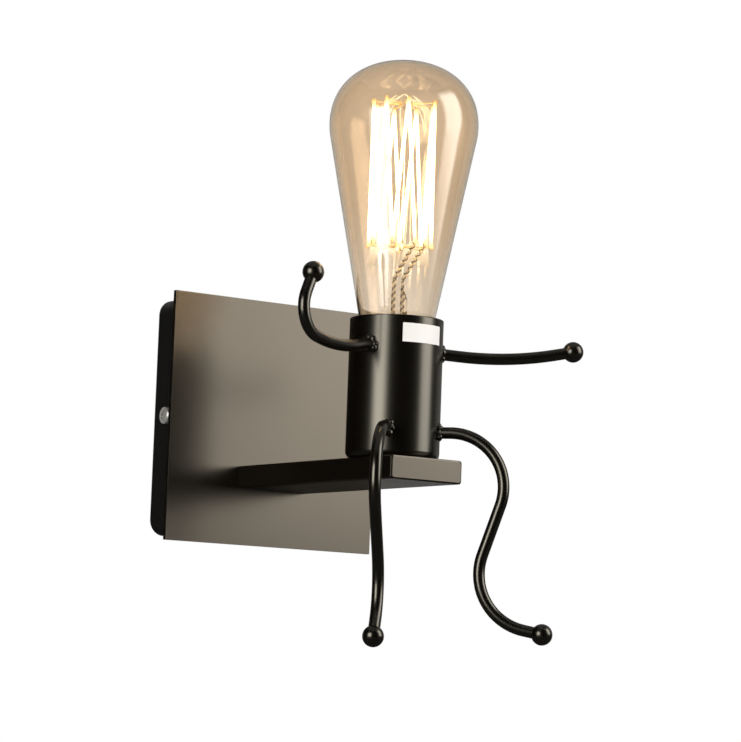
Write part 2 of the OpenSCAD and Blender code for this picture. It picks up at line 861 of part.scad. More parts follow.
module left_arm_rod() limb_rod(-hand_azimuth, left_hand_z, left_arm_tilt, left_arm_path);
module right_arm_rod() limb_rod(hand_azimuth, right_hand_z, right_arm_tilt, right_arm_path);
module left_leg_rod() limb_rod(-foot_azimuth, -leg_root_drop, left_leg_tilt, left_leg_path);
module right_leg_rod() limb_rod(foot_azimuth, -leg_root_drop, right_leg_tilt, right_leg_path);
module left_hand_ball() limb_ball(-hand_azimuth, left_hand_z, left_arm_tilt, left_arm_path);
module right_hand_ball() limb_ball(hand_azimuth, right_hand_z, right_arm_tilt, right_arm_path);
module left_foot_ball() limb_ball(-foot_azimuth, -leg_root_drop, left_leg_tilt, left_leg_path);
module right_foot_ball() limb_ball(foot_azimuth, -leg_root_drop, right_leg_tilt, right_leg_path);

// Radius of the glass cone at a height below its widest place
function cone_r(z) = let (d = glass_wide_z - z)
    bulb_d / 2 - cone_slope * (d < cone_blend ? d * d / (2 * cone_blend) : d - cone_blend / 2);

// Outline of the glass, from the neck to the top, with its wall moved in by inset
function glass_outline(inset) = let (
        shoulder_top = shoulder_low_z + shoulder_h,
        wide_r = cone_r(shoulder_top)
    ) concat(
        [[0, neck_low_z], [neck_r - inset, neck_low_z]],
        [for (t = [0 : 0.125 : 1])
            [neck_r + (wide_r - neck_r) * (1 - cos(180 * t)) / 2 - inset, shoulder_low_z + shoulder_h * t]],
        [for (d = [cone_blend, cone_blend * 2 / 3, cone_blend / 3])
            [cone_r(glass_wide_z - d) - inset, glass_wide_z - d]],
        [for (a = [0 : dome_step : 90])
            [
                (bulb_d / 2 - inset) * pow(cos(a), 2 / dome_power),
                glass_wide_z + (dome_h - inset) * pow(sin(a), 2 / dome_power)
            ]]
    );

module bulb_glass() {
    inner = glass_outline(glass_t);
    open_neck = concat([[0, neck_low_z - 1], [neck_r - glass_t, neck_low_z - 1]],
        [for (i = [2 : len(inner) - 1]) inner[i]]);
    color([0.85, 0.6, 0.3, 0.4])
        translate([0, cup_y, 0])
            difference() {
                rotate_extrude($fn = 96) polygon(glass_outline(0));
                rotate_extrude($fn = 96) polygon(open_neck);
            }
}

module bulb_screw_cap() {
    r = cap_d / 2;
    low = tip_h + insulator_h;
    foot_r = insulator_high_r + 0.9;
    color("#b8a878")
        translate([0, cup_y, bulb_tip_z])
            rotate_extrude($fn = 96)
                polygon([
                    [foot_r - cap_wall, low - 1.2], [foot_r, low - 1.2], [r - 0.8, low + 0.6], [r, low + 2.2],
                    [r, cap_len - 2], [r + 0.2, cap_len - 0.6], [r + 0.2, cap_len],
                    [r - cap_wall, cap_len], [r - cap_wall, low + 2.4], [r - cap_wall - 0.8, low + 1.1],
                    [foot_r - cap_wall, low - 0.6]
                ]);
}

module bulb_cap_insulator() {
    color("#26201c")
        translate([0, cup_y, bulb_tip_z + tip_h])
            cylinder(r1 = insulator_low_r, r2 = insulator_high_r, h = insulator_h);
}

module bulb_tip_contact() {
    color("silver")
        translate([0, cup_y, bulb_tip_z])
            rotate_extrude() polygon([
                [0, 0], [tip_r - tip_ease, 0], [tip_r, tip_h * tip_round_share], [tip_r, tip_h], [0, tip_h]
            ]);
}

// Angle of a filament corner: even corners hang on the lower hooks, odd ones on the upper hooks
function corner_angle(i) =
    cage_gap_side + cage_gap_angle / 2 + (360 - cage_gap_angle) * i / (2 * filament_loops);
function corner_point(i) = [
    cage_r * cos(corner_angle(i)), cage_r * sin(corner_angle(i)), i % 2 == 0 ? cage_low_z : cage_top_z
];

module bulb_stem() {
    flare_r = neck_r - glass_t - 0.1;
    color([0.9, 0.9, 0.9, 0.5])
        translate([0, cup_y, 0])
            difference() {
                union() {
                    rotate_extrude()
                        polygon([
                            [0, press_low_z - flare_drop],
                            [stem_press_r - stem_wall, press_low_z - flare_hollow_drop],
                            [flare_r - stem_wall, neck_low_z], [flare_r, neck_low_z],
                            [stem_press_r, press_low_z - flare_drop],
                            [stem_press_r, press_high_z - press_shoulder],
                            [stem_rod_r, press_high_z], [stem_rod_r, cage_top_z], [0, cage_top_z]
                        ]);
                    for (z = [cage_low_z, cage_top_z])
                        translate([0, 0, z]) sphere(stem_bead_r);
                }
                for (x = [-1, 1] * lead_x)
                    translate([x, 0, neck_low_z]) cylinder(d = lead_d + 2 * thread_gap, h = press_high_z);
            }
}

module bulb_lead_wires() {
    color("silver")
        translate([0, cup_y, 0])
            for (end = [0, 2 * filament_loops]) {
                hook = corner_point(end);
                other_hook = corner_point(2 * filament_loops - end);
                side = sign(hook[0] - other_hook[0]);
                elbow = [side * lead_x, 0, press_high_z + lead_rise];
                rod_between([side * lead_x, 0, neck_low_z + 2], elbow, lead_d);
                translate(elbow) sphere(d = lead_d * 1.2, $fn = 24);
                rod_between(elbow, hook - unit(hook - elbow) * filament_d * 0.7, lead_d);
            }
}

module bulb_filament_supports() {
    color("silver")
        translate([0, cup_y, 0])
            difference() {
                for (i = [1 : 2 * filament_loops - 1]) {
                    tip = corner_point(i);
                    root = [0, 0, tip[2]];
                    rod_between(root + unit(tip - root), tip - unit(tip - root) * filament_d * 0.6, support_d);
                }
                for (z = [cage_low_z, cage_top_z])
                    translate([0, 0, z]) sphere(stem_bead_r + weld_gap);
            }
}

module bulb_filament() {
    turn = 1.2;
    last = 2 * filament_loops;
    corners = [for (i = [0 : last]) corner_point(i)];
    route = concat(
        [corners[0]],
        [for (i = [1 : last - 1])
            let (p = corners[i], before = unit(corners[i - 1] - p), after = unit(corners[i + 1] - p))
                each [p + turn * before, p + turn * 0.15 * (before + after), p + turn * after]],
        [corners[last]]
    );
    color("#ffd27a")
        translate([0, cup_y, 0]) wire_along(route, filament_d, 6);
}

// Route of a lamp wire from its way in the terminal block to a terminal of the holder.
// side is -1 or 1 across the lamp, and end is 1 for the terminal nearer the wall or -1 for the other
function lamp_wire_route(way, side, end) = let (
        lane = side * (wire_d / 2 + wire_lane_gap),
        run_z = arm_top_z - arm_h + arm_wall + wire_d / 2 + wire_floor_gap,
        out_z = nipple_high_z + 1.2,
        wire_z = holder_seat_z - terminal_wire_drop
    ) [
        [way * block_pitch, block_bore_y, block_mid_z],
        [way * block_pitch, block_bore_y, block_low_z - wire_drop],
        [way * block_pitch * 0.7, block_bore_y, -bracket_w / 2],
        [lane, block_bore_y + 1, arm_mid_z + wire_swing],
        [lane, block_bore_y + 1, arm_mid_z],
        [lane, pan_inner_y + 1, arm_mid_z],
        [lane, plate_front_y - arm_block_len - 1, arm_mid_z],
        [lane, plate_front_y - arm_block_len - wire_settle, run_z],
        [lane, cup_y + 2 * wire_settle, run_z],
        [lane, cup_y + 4, run_z],
        [lane, cup_y, run_z],
        [lane, cup_y, run_z + 4],
        [lane, cup_y, cup_floor_z],
        [lane, cup_y, out_z],
        [lane * 0.6, cup_y + end * 1.5, wire_z],
        [0, cup_y + end * 4, wire_z],
        [0, cup_y + end * (terminal_y + 1.5), wire_z]
    ];

module live_wire() {
    color("saddlebrown") wire_along(cut_corners(lamp_wire_route(-1, -1, 1)), wire_d, 8);
}

module neutral_wire() {
    color("royalblue") wire_along(cut_corners(lamp_wire_route(0, 1, -1)), wire_d, 8);
}

module earth_wire() {
    barrel_y = pan_inner_y + barrel_d / 2;
    barrel_end_x = earth_x - ring_d / 2 - barrel_len;
    route = [
        [block_pitch, block_bore_y, block_mid_z],
        [block_pitch, block_bore_y, block_low_z - wire_drop],
        [block_pitch + earth_lead * 0.75, block_bore_y, block_low_z - wire_drop - earth_lead],
        [barrel_end_x - earth_lead * 0.75, barrel_y + earth_lead / 2, earth_z - earth_sag],
        [barrel_end_x - earth_lead, barrel_y, earth_z],
        [barrel_end_x, barrel_y, earth_z],
        [barrel_end_x + barrel_len - 1, barrel_y, earth_z]
    ];
    color("yellowgreen") wire_along(cut_corners(route), wire_d, 8);
}

wall_bracket();
canopy_pan();
canopy_side_screws();
face_plate();
arm_fixing_screws();
wire_grommet();
terminal_block();
terminal_inserts();
terminal_clamp_screws();
terminal_fixing_screws();
earth_screw();
earth_ring_terminal();
support_arm();
arm_rear_block();
arm_front_cap();
lamp_cup();
blank_label();
threaded_nipple();
nipple_nuts();
holder_bracket();
holder_bracket_screws();
holder_body();
holder_screw_shell();
holder_centre_contact();
holder_rivets();
holder_terminals();
holder_terminal_screws();
left_arm_rod();
right_arm_rod();
left_leg_rod();
right_leg_rod();
left_hand_ball();
right_hand_ball();
left_foot_ball();
right_foot_ball();
bulb_glass();
bulb_screw_cap();
bulb_cap_insulator();
bulb_tip_contact();
bulb_stem();
bulb_lead_wires();
bulb_filament_supports();
bulb_filament();
live_wire();
neutral_wire();
earth_wire();
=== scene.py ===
import math
import random

import bmesh
import bpy
from mathutils import Matrix, Quaternion, Vector


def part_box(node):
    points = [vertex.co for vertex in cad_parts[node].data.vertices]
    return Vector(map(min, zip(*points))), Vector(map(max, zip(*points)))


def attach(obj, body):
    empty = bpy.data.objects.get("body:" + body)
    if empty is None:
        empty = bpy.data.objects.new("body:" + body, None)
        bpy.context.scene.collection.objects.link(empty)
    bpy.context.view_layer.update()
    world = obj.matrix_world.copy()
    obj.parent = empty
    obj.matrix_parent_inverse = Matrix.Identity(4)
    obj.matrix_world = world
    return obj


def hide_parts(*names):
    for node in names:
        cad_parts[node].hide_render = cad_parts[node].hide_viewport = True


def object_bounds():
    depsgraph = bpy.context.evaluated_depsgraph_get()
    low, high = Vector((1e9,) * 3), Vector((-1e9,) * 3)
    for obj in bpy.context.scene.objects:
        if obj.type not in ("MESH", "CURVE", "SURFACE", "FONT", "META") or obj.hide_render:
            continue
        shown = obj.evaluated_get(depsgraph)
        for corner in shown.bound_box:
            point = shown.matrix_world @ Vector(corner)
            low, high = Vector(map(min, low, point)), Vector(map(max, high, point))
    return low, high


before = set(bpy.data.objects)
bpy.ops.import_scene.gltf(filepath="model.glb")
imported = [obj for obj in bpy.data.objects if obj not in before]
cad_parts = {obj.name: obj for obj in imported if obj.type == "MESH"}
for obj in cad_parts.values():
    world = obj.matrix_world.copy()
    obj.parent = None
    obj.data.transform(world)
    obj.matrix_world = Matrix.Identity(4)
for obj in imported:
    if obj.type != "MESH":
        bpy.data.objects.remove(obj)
cad_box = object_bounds()

# Studio camera
# A long lens to the left of the lamp and a little below it, as a shop photograph is taken.
# Its place, turn and focal length come from the edges of the plate, the arm and the bulb.
mm = 0.001
camera_azimuth = math.radians(-35.729)
camera_elevation = math.radians(-6.362)
camera_roll = math.radians(2.124)
camera_distance = 1288.1 * mm
camera_target = Vector((8.22, -78.16, 20.87)) * mm
focal_length_px = 2961.2
image_long_side_px = 742
sensor_width_mm = 36.0


def towards(azimuth, elevation):
    """Unit vector away from the lamp.

    Azimuth is from the front towards the lamp's right, and elevation is upwards.
    """
    return Vector((
        math.cos(elevation) * math.sin(azimuth),
        -math.cos(elevation) * math.cos(azimuth),
        math.sin(elevation),
    ))


camera_data = bpy.data.cameras.new("shop_camera")
camera_data.sensor_width = sensor_width_mm
camera_data.lens = focal_length_px / image_long_side_px * sensor_width_mm
camera = bpy.data.objects.new("shop_camera", camera_data)
camera_back = towards(camera_azimuth, camera_elevation)
camera.location = camera_target + camera_back * camera_distance
camera_turn = camera_back.to_track_quat("Z", "Y") @ Quaternion((0, 0, 1), camera_roll)
camera.rotation_euler = camera_turn.to_euler()
bpy.context.scene.collection.objects.link(camera)
bpy.context.scene.camera = camera
bpy.context.scene.view_settings.view_transform = "Standard"

# Studio light
# White surroundings, a soft box at the lamp's left and one at its right, a grey ceiling, and dark
# cards between them. Only gloss sees the cards, so black paint and metal show where the boxes end.
white = (1.0, 1.0, 1.0, 1.0)
fill_colour = (1.0, 0.97, 0.94, 1.0)
fill_strength = 0.46
backdrop_strength = 1.0
light_target = Vector((0, -107.5, 20)) * mm
box_colour = (1.0, 0.96, 0.9, 1.0)
box_distance = 900 * mm
box_end_fade = 0.2
card_distance = 1035 * mm
card_height = 2600 * mm
ceiling_size = 2400 * mm
black_card = 0.004
grey_card = 0.33
ceiling_shade = 0.35

world = bpy.data.worlds.new("studio_white")
world.use_nodes = True
bpy.context.scene.world = world
nodes = world.node_tree.nodes
links = world.node_tree.links
nodes.clear()
light_path = nodes.new("ShaderNodeLightPath")
camera_or_gloss = nodes.new("ShaderNodeMath")
camera_or_gloss.operation = "MAXIMUM"
links.new(light_path.outputs["Is Camera Ray"], camera_or_gloss.inputs[0])
links.new(light_path.outputs["Is Glossy Ray"], camera_or_gloss.inputs[1])
seen_directly = nodes.new("ShaderNodeMath")
seen_directly.operation = "MAXIMUM"
links.new(camera_or_gloss.outputs[0], seen_directly.inputs[0])
links.new(light_path.outputs["Is Transmission Ray"], seen_directly.inputs[1])
fill = nodes.new("ShaderNodeBackground")
fill.inputs["Color"].default_value = fill_colour
fill.inputs["Strength"].default_value = fill_strength
backdrop = nodes.new("ShaderNodeBackground")
backdrop.inputs["Color"].default_value = white
backdrop.inputs["Strength"].default_value = backdrop_strength
choose = nodes.new("ShaderNodeMixShader")
links.new(seen_directly.outputs[0], choose.inputs[0])
links.new(fill.outputs[0], choose.inputs[1])
links.new(backdrop.outputs[0], choose.inputs[2])
world_output = nodes.new("ShaderNodeOutputWorld")
links.new(choose.outputs[0], world_output.inputs["Surface"])


def math_node(tree, operation, first, second):
    """A math node on two sockets or numbers, and its output."""
    node = tree.nodes.new("ShaderNodeMath")
    node.operation = operation
    for place, value in enumerate((first, second)):
        if isinstance(value, (int, float)):
            node.inputs[place].default_value = value
        else:
            tree.links.new(value, node.inputs[place])
    return node.outputs[0]


def smooth_step(tree, value, low, high):
    """Goes smoothly from 0 where the socket is low to 1 where it is high."""
    node = tree.nodes.new("ShaderNodeMapRange")
    node.interpolation_type = "SMOOTHSTEP"
    node.inputs["From Min"].default_value = low
    node.inputs["From Max"].default_value = high
    tree.links.new(value, node.inputs["Value"])
    return node.outputs["Result"]


def studio_sheet(name, azimuth_deg, elevation_deg, distance, width, height):
    """A flat sheet of that width and height in metres that faces the lamp, with its own material."""
    shape = bmesh.new()
    shape.loops.layers.uv.new("sheet")
    bmesh.ops.create_grid(shape, x_segments=1, y_segments=1, size=0.5, calc_uvs=True)
    bmesh.ops.scale(shape, vec=(width, height, 1), verts=shape.verts)
    back = towards(math.radians(azimuth_deg), math.radians(elevation_deg))
    place = Matrix.Translation(light_target + back * distance)
    turn = (-back).to_track_quat("Z", "Y").to_matrix().to_4x4()
    bmesh.ops.transform(shape, matrix=place @ turn, verts=shape.verts)
    mesh = bpy.data.meshes.new(name)
    shape.to_mesh(mesh)
    shape.free()
    material = bpy.data.materials.new(name)
    material.use_nodes = True
    mesh.materials.append(material)
    sheet = bpy.data.objects.new(name, mesh)
    bpy.context.scene.collection.objects.link(sheet)
    sheet.visible_camera = False
    sheet.visible_shadow = False
    return sheet


def soft_box(name, azimuth_deg, elevation_deg, width, height, side_fade, brightness):
    """A soft box that lights the lamp and fades towards its edges.

    Where glass shows it straight through, it is no brighter than the white surroundings.
    """
    sheet = studio_sheet(name, azimuth_deg, elevation_deg, box_distance, width, height)
    tree = sheet.active_material.node_tree
    tree.nodes.remove(tree.nodes["Principled BSDF"])
    place = tree.nodes.new("ShaderNodeTexCoord")
    across_and_up = tree.nodes.new("ShaderNodeSeparateXYZ")
    tree.links.new(place.outputs["UV"], across_and_up.inputs[0])
    strength = brightness
    for share, fade in zip(across_and_up.outputs, (side_fade, box_end_fade)):
        from_edge = math_node(tree, "MINIMUM", share, math_node(tree, "SUBTRACT", 1.0, share))
        strength = math_node(tree, "MULTIPLY", strength, smooth_step(tree, from_edge, 0.0, fade))
    side = tree.nodes.new("ShaderNodeNewGeometry")
    front = math_node(tree, "SUBTRACT", 1.0, side.outputs["Backfacing"])
    strength = math_node(tree, "MULTIPLY", strength, front)
    ray = tree.nodes.new("ShaderNodeLightPath")
    bounced = math_node(tree, "MINIMUM", ray.outputs["Glossy Depth"], 1.0)
    straight = math_node(tree, "SUBTRACT", 1.0, bounced)
    through_glass = math_node(tree, "MULTIPLY", ray.outputs["Is Transmission Ray"], straight)
    shown = math_node(tree, "SUBTRACT", 1.0, through_glass)
    light = tree.nodes.new("ShaderNodeEmission")
    light.inputs["Color"].default_value = box_colour
    tree.links.new(math_node(tree, "MULTIPLY", strength, shown), light.inputs["Strength"])
    clear = tree.nodes.new("ShaderNodeBsdfTransparent")
    both = tree.nodes.new("ShaderNodeAddShader")
    tree.links.new(light.outputs[0], both.inputs[0])
    tree.links.new(clear.outputs[0], both.inputs[1])
    tree.links.new(both.outputs[0], tree.nodes["Material Output"].inputs["Surface"])


soft_box(
    "left_soft_box", azimuth_deg=-73, elevation_deg=6, width=0.7, height=0.66,
    side_fade=0.35, brightness=6.48)
soft_box(
    "right_soft_box", azimuth_deg=45.4, elevation_deg=21.7, width=0.66, height=1.0,
    side_fade=0.25, brightness=4.42)


def dark_card(
        name, azimuth_deg, width, shade, elevation_deg=0, distance=card_distance, height=card_height):
    """A matt card of that shade of grey that is seen only in gloss."""
    card = studio_sheet(name, azimuth_deg, elevation_deg, distance, width, height)
    card.visible_diffuse = False
    card.visible_transmission = False
    shader = card.active_material.node_tree.nodes["Principled BSDF"]
    shader.inputs["Base Color"].default_value = (shade, shade, shade, 1)
    shader.inputs["Roughness"].default_value = 1.0
    shader.inputs["Specular IOR Level"].default_value = 0.0


dark_card("front_card", azimuth_deg=-14, width=1.72, shade=black_card)
dark_card("left_card", azimuth_deg=-78, width=1.2, shade=black_card)
dark_card("left_rear_card", azimuth_deg=-138, width=1.54, shade=black_card)
dark_card("right_card", azimuth_deg=55, width=1.2, shade=black_card)
dark_card("right_rear_card", azimuth_deg=119, width=1.68, shade=grey_card)
dark_card("rear_card", azimuth_deg=175, width=0.9, shade=grey_card)
dark_card(
    "ceiling_card", azimuth_deg=0, width=ceiling_size, shade=ceiling_shade, elevation_deg=90,
    distance=card_height / 2, height=ceiling_size)

# Studio floor
# A pale sheet well below the lamp, which hangs on a wall. It keeps the lamp's soft shadow and fades
# to white further out. A dark card lies just above it, so that black paint stays dark underneath.
floor_drop = 180 * mm
floor_size = 6000 * mm
floor_colour = (0.9, 0.9, 0.9, 1)
floor_roughness = 0.9
floor_lift = 0.3
floor_fade_start = 350 * mm
floor_fade_end = 1000 * mm
floor_card_gap = 4 * mm
floor_card_size = 3000 * mm
floor_card_shade = 0.06

shape = bmesh.new()
bmesh.ops.create_grid(shape, x_segments=1, y_segments=1, size=floor_size / 2)
floor_z = cad_box[0][2] - floor_drop
bmesh.ops.translate(shape, vec=(0, 0, floor_z), verts=shape.verts)
floor_mesh = bpy.data.meshes.new("studio_floor")
shape.to_mesh(floor_mesh)
shape.free()
floor = bpy.data.objects.new("studio_floor", floor_mesh)
bpy.context.scene.collection.objects.link(floor)
floor_paint = bpy.data.materials.new("studio_floor")
floor_paint.use_nodes = True
floor_tree = floor_paint.node_tree
floor_shader = floor_tree.nodes["Principled BSDF"]
floor_shader.inputs["Base Color"].default_value = floor_colour
floor_shader.inputs["Roughness"].default_value = floor_roughness
floor_place = floor_tree.nodes.new("ShaderNodeTexCoord")
floor_reach = floor_tree.nodes.new("ShaderNodeVectorMath")
floor_reach.operation = "DISTANCE"
floor_tree.links.new(floor_place.outputs["Object"], floor_reach.inputs[0])
floor_reach.inputs[1].default_value = (light_target.x, light_target.y, floor_z)
floor_ray = floor_tree.nodes.new("ShaderNodeLightPath")
floor_seen = math_node(
    floor_tree, "MAXIMUM", floor_ray.outputs["Is Camera Ray"], floor_ray.outputs["Is Transmission Ray"])
floor_seen = math_node(floor_tree, "MAXIMUM", floor_seen, floor_ray.outputs["Is Glossy Ray"])
floor_far = smooth_step(floor_tree, floor_reach.outputs["Value"], floor_fade_start, floor_fade_end)
floor_shader.inputs["Emission Color"].default_value = white
floor_glow = math_node(floor_tree, "MULTIPLY", floor_seen, floor_lift)
floor_tree.links.new(floor_glow, floor_shader.inputs["Emission Strength"])
floor_white = floor_tree.nodes.new("ShaderNodeEmission")
floor_mix = floor_tree.nodes.new("ShaderNodeMixShader")
floor_tree.links.new(math_node(floor_tree, "MULTIPLY", floor_seen, floor_far), floor_mix.inputs[0])
floor_tree.links.new(floor_shader.outputs[0], floor_mix.inputs[1])
floor_tree.links.new(floor_white.outputs[0], floor_mix.inputs[2])
floor_tree.links.new(floor_mix.outputs[0], floor_tree.nodes["Material Output"].inputs["Surface"])
floor_mesh.materials.append(floor_paint)
dark_card(
    "floor_card", azimuth_deg=0, width=floor_card_size, shade=floor_card_shade, elevation_deg=-90,
    distance=light_target.z - floor_z - floor_card_gap, height=floor_card_size)

# Wall bracket
# A pressed strip of zinc-plated steel with two slots and two tapped end tabs, screwed to the wall.
# Zinc leaves a cool grey with fine grain and cloudy patches of the plating.
bracket_edge = 0.2 * mm
cloud_scale = 45
cloud_detail = 3
grain_scale = 2600
grain_detail = 2
grain_height = 0.05 * mm
merge_gap = 0.002 * mm
flat_angle = math.radians(0.5)
sharp_angle = math.radians(50)
crease_angle = math.radians(38)


def surface_group(name, inputs, outputs):
    """An empty shader node group with those sockets, and its input and output nodes."""
    group = bpy.data.node_groups.new(name, "ShaderNodeTree")
    for socket, kind in inputs:
        group.interface.new_socket(socket, in_out="INPUT", socket_type=kind)
    for socket, kind in outputs:
        group.interface.new_socket(socket, in_out="OUTPUT", socket_type=kind)
    return group, group.nodes.new("NodeGroupInput"), group.nodes.new("NodeGroupOutput")


def mix_colour(tree, factor, first, second):
    """A colour mix of two sockets or colours, and its output."""
    node = tree.nodes.new("ShaderNodeMix")
    node.data_type = "RGBA"
    for socket, value in ((node.inputs[0], factor), (node.inputs[6], first), (node.inputs[7], second)):
        if isinstance(value, (int, float, tuple)):
            socket.default_value = value
        else:
            tree.links.new(value, socket)
    return node.outputs[2]


def noise_on_object(tree, scale, detail):
    """Noise on the piece's own coordinates, and its output."""
    coordinates = tree.nodes.new("ShaderNodeTexCoord")
    noise = tree.nodes.new("ShaderNodeTexNoise")
    noise.inputs["Scale"].default_value = scale
    noise.inputs["Detail"].default_value = detail
    tree.links.new(coordinates.outputs["Object"], noise.inputs["Vector"])
    return noise.outputs["Fac"]


# Fine grain and slow clouding that a sprayed, plated or moulded surface has
grain_group, grain_in, grain_out = surface_group(
    "grain_and_cloud",
    [("Colour", "NodeSocketColor"), ("Shade", "NodeSocketColor"),
     ("Roughness", "NodeSocketFloat"), ("Roughness Spread", "NodeSocketFloat")],
    [("Colour", "NodeSocketColor"), ("Roughness", "NodeSocketFloat"), ("Height", "NodeSocketFloat")],
)
grain_cloud = noise_on_object(grain_group, cloud_scale, cloud_detail)
grain_fine = noise_on_object(grain_group, grain_scale, grain_detail)
grain_colour = mix_colour(grain_group, grain_cloud, grain_in.outputs["Shade"], grain_in.outputs["Colour"])
grain_group.links.new(grain_colour, grain_out.inputs["Colour"])
grain_both = math_node(grain_group, "ADD", grain_cloud, grain_fine)
grain_centred = math_node(grain_group, "SUBTRACT", grain_both, 1.0)
grain_spread = math_node(grain_group, "MULTIPLY", grain_centred, grain_in.outputs["Roughness Spread"])
grain_roughness = math_node(grain_group, "ADD", grain_in.outputs["Roughness"], grain_spread)
grain_group.links.new(grain_roughness, grain_out.inputs["Roughness"])
grain_group.links.new(grain_fine, grain_out.inputs["Height"])


def grained_finish(
        name, colour, shade, roughness, spread, bump, metallic=0.0, specular=0.5, tint=white):
    """A finish with fine grain.

    It has two shades of its colour, a roughness with some spread, and a fine bump.
    """
    material = bpy.data.materials.new(name)
    material.use_nodes = True
    tree = material.node_tree
    shader = tree.nodes["Principled BSDF"]
    grain = tree.nodes.new("ShaderNodeGroup")
    grain.node_tree = grain_group
    grain.inputs["Colour"].default_value = colour
    grain.inputs["Shade"].default_value = shade
    grain.inputs["Roughness"].default_value = roughness
    grain.inputs["Roughness Spread"].default_value = spread
    tree.links.new(grain.outputs["Colour"], shader.inputs["Base Color"])
    tree.links.new(grain.outputs["Roughness"], shader.inputs["Roughness"])
    relief = tree.nodes.new("ShaderNodeBump")
    relief.inputs["Strength"].default_value = bump
    relief.inputs["Distance"].default_value = grain_height
    tree.links.new(grain.outputs["Height"], relief.inputs["Height"])
    tree.links.new(relief.outputs["Normal"], shader.inputs["Normal"])
    shader.inputs["Metallic"].default_value = metallic
    shader.inputs["Specular IOR Level"].default_value = specular
    shader.inputs["Specular Tint"].default_value = tint
    return material


def dress(material, *node_names):
    """Gives those CAD nodes the material."""
    for node_name in node_names:
        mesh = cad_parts[node_name].data
        mesh.materials.clear()
        mesh.materials.append(material)


def eased_copy(node_name, width):
    """A copy of that node's shape with its sharp edges eased by that width."""
    shape = bmesh.new()
    shape.from_mesh(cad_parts[node_name].data)
    bmesh.ops.remove_doubles(shape, verts=shape.verts, dist=merge_gap)
    bmesh.ops.dissolve_limit(
        shape, angle_limit=flat_angle, verts=shape.verts, edges=shape.edges, delimit={"NORMAL"})
    sharp = [edge for edge in shape.edges if edge.is_manifold and edge.calc_face_angle() > sharp_angle]
    bmesh.ops.bevel(
        shape, geom=sharp, offset=width, affect="EDGES", segments=2, profile=0.5, material=-1,
        clamp_overlap=True)
    return shape


def piece_from(shape, name, material, body, slot, *node_names):
    """Makes the shape a smooth piece that rides on the body and stands for those nodes."""
    bmesh.ops.recalc_face_normals(shape, faces=shape.faces)
    for face in shape.faces:
        face.smooth = True
    mesh = bpy.data.meshes.new(name)
    shape.to_mesh(mesh)
    shape.free()
    mesh.set_sharp_from_angle(angle=crease_angle)
    mesh.materials.append(material)
    piece = bpy.data.objects.new(name, mesh)
    bpy.context.scene.collection.objects.link(piece)
    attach(piece, body)
    if node_names:
        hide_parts(*node_names)
    return piece


def eased_piece(node_name, width, name, material, slot):
    """A piece of the fixture that stands for the node, with eased edges beside faces that stay flat."""
    piece = piece_from(eased_copy(node_name, width), name, material, "fixture", slot, node_name)
    flat_faces = piece.modifiers.new("flat_faces", "WEIGHTED_NORMAL")
    flat_faces.keep_sharp = True


zinc_steel = grained_finish(
    "zinc_steel", colour=(0.6, 0.6, 0.58, 1), shade=(0.42, 0.42, 0.41, 1),
    roughness=0.34, spread=0.12, bump=0.15, metallic=1.0)
eased_piece("wall_bracket", bracket_edge, "pressed_bracket", zinc_steel, "zinc_steel")

# Canopy pan
# A deep-drawn steel pan with round corners, powder-coated a dull black inside and out.
# It covers the bracket and the wiring, and its open back stands against the wall.
pan_edge = 0.35 * mm
pan_black = grained_finish(
    "canopy_black", colour=(0.003, 0.0028, 0.0026, 1), shade=(0.002, 0.0019, 0.0018, 1),
    roughness=0.4, spread=0.08, bump=0.3, specular=0.6)
eased_piece("canopy_pan", pan_edge, "drawn_pan", pan_black, "canopy_black")

# Canopy side screws
# Two steel screws with cross-slotted round heads, plated with bright nickel.
# They go through the sides of the pan into the bracket's tapped tabs.
bright_nickel = grained_finish(
    "bright_nickel", colour=(0.83, 0.83, 0.81, 1), shade=(0.7, 0.7, 0.68, 1),
    roughness=0.26, spread=0.1, bump=0.1, metallic=0.8)
dress(bright_nickel, "canopy_side_screws")

# Face plate
# A square of steel sheet in satin black-brown paint, fixed to the pan by the arm's screws.
# The paint is smooth enough to show the arm and the cup as blurred dark shapes.
plate_edge = 0.6 * mm
warm_black = (0.004, 0.003, 0.002, 1)
warm_black_shade = (0.003, 0.0022, 0.0014, 1)
warm_gloss = (1.0, 0.905, 0.75, 1)
plate_paint = grained_finish(
    "plate_paint", colour=warm_black, shade=warm_black_shade,
    roughness=0.25, spread=0.02, bump=0.05, specular=1.0, tint=warm_gloss)
eased_piece("face_plate", plate_edge, "painted_plate", plate_paint, "plate_gunmetal")

# Terminals and wiring inside the canopy
# A nylon terminal block with brass inserts and zinc-plated screws, an earth screw with a crimped ring,
# and three PVC-insulated wires: brown, blue, and green with yellow. The routes are in millimetres.
block_edge = 0.4 * mm
wire_radius = 0.9 * mm
wire_sides = 16
wire_softening = 3
wire_tip_z = 21
block_mouth_z = 9
block_way_x = 8
bore_y = -8.3
gather_z = -10
gather_share = 0.7
wire_lane_x = 1.3
pan_run_y = -7.3
pan_bend_z = -19
grommet_y = -13.3
grommet_z = -25
arm_entry_y = -26.5
arm_run_y = -35.5
arm_run_z = -27.25
cup_axis_y = -107.5
arm_run_end = 20
nipple_bend = 4
nipple_low_z = -18.5
nipple_top_z = -12.8
fan_share = 0.6
fan_start = 1.5
fan_end = 4
terminal_reach = 10.5
terminal_wire_z = -8.9
earth_bend_x = 11
earth_bend_z = 5
earth_swing = (19, -10.8, 11)
earth_return_x = 18
earth_crimp_x = 22
earth_ring_x = 27
earth_ring_y = -12.8
earth_ring_z = 18
stripe_yellow = (0.72, 0.5, 0.02, 1)
stripe_edge = 0.8
stripe_blur = 0.05
brass = grained_finish(
    "brass", colour=(0.72, 0.53, 0.25, 1), shade=(0.6, 0.42, 0.18, 1),
    roughness=0.28, spread=0.12, bump=0.1, metallic=1.0)
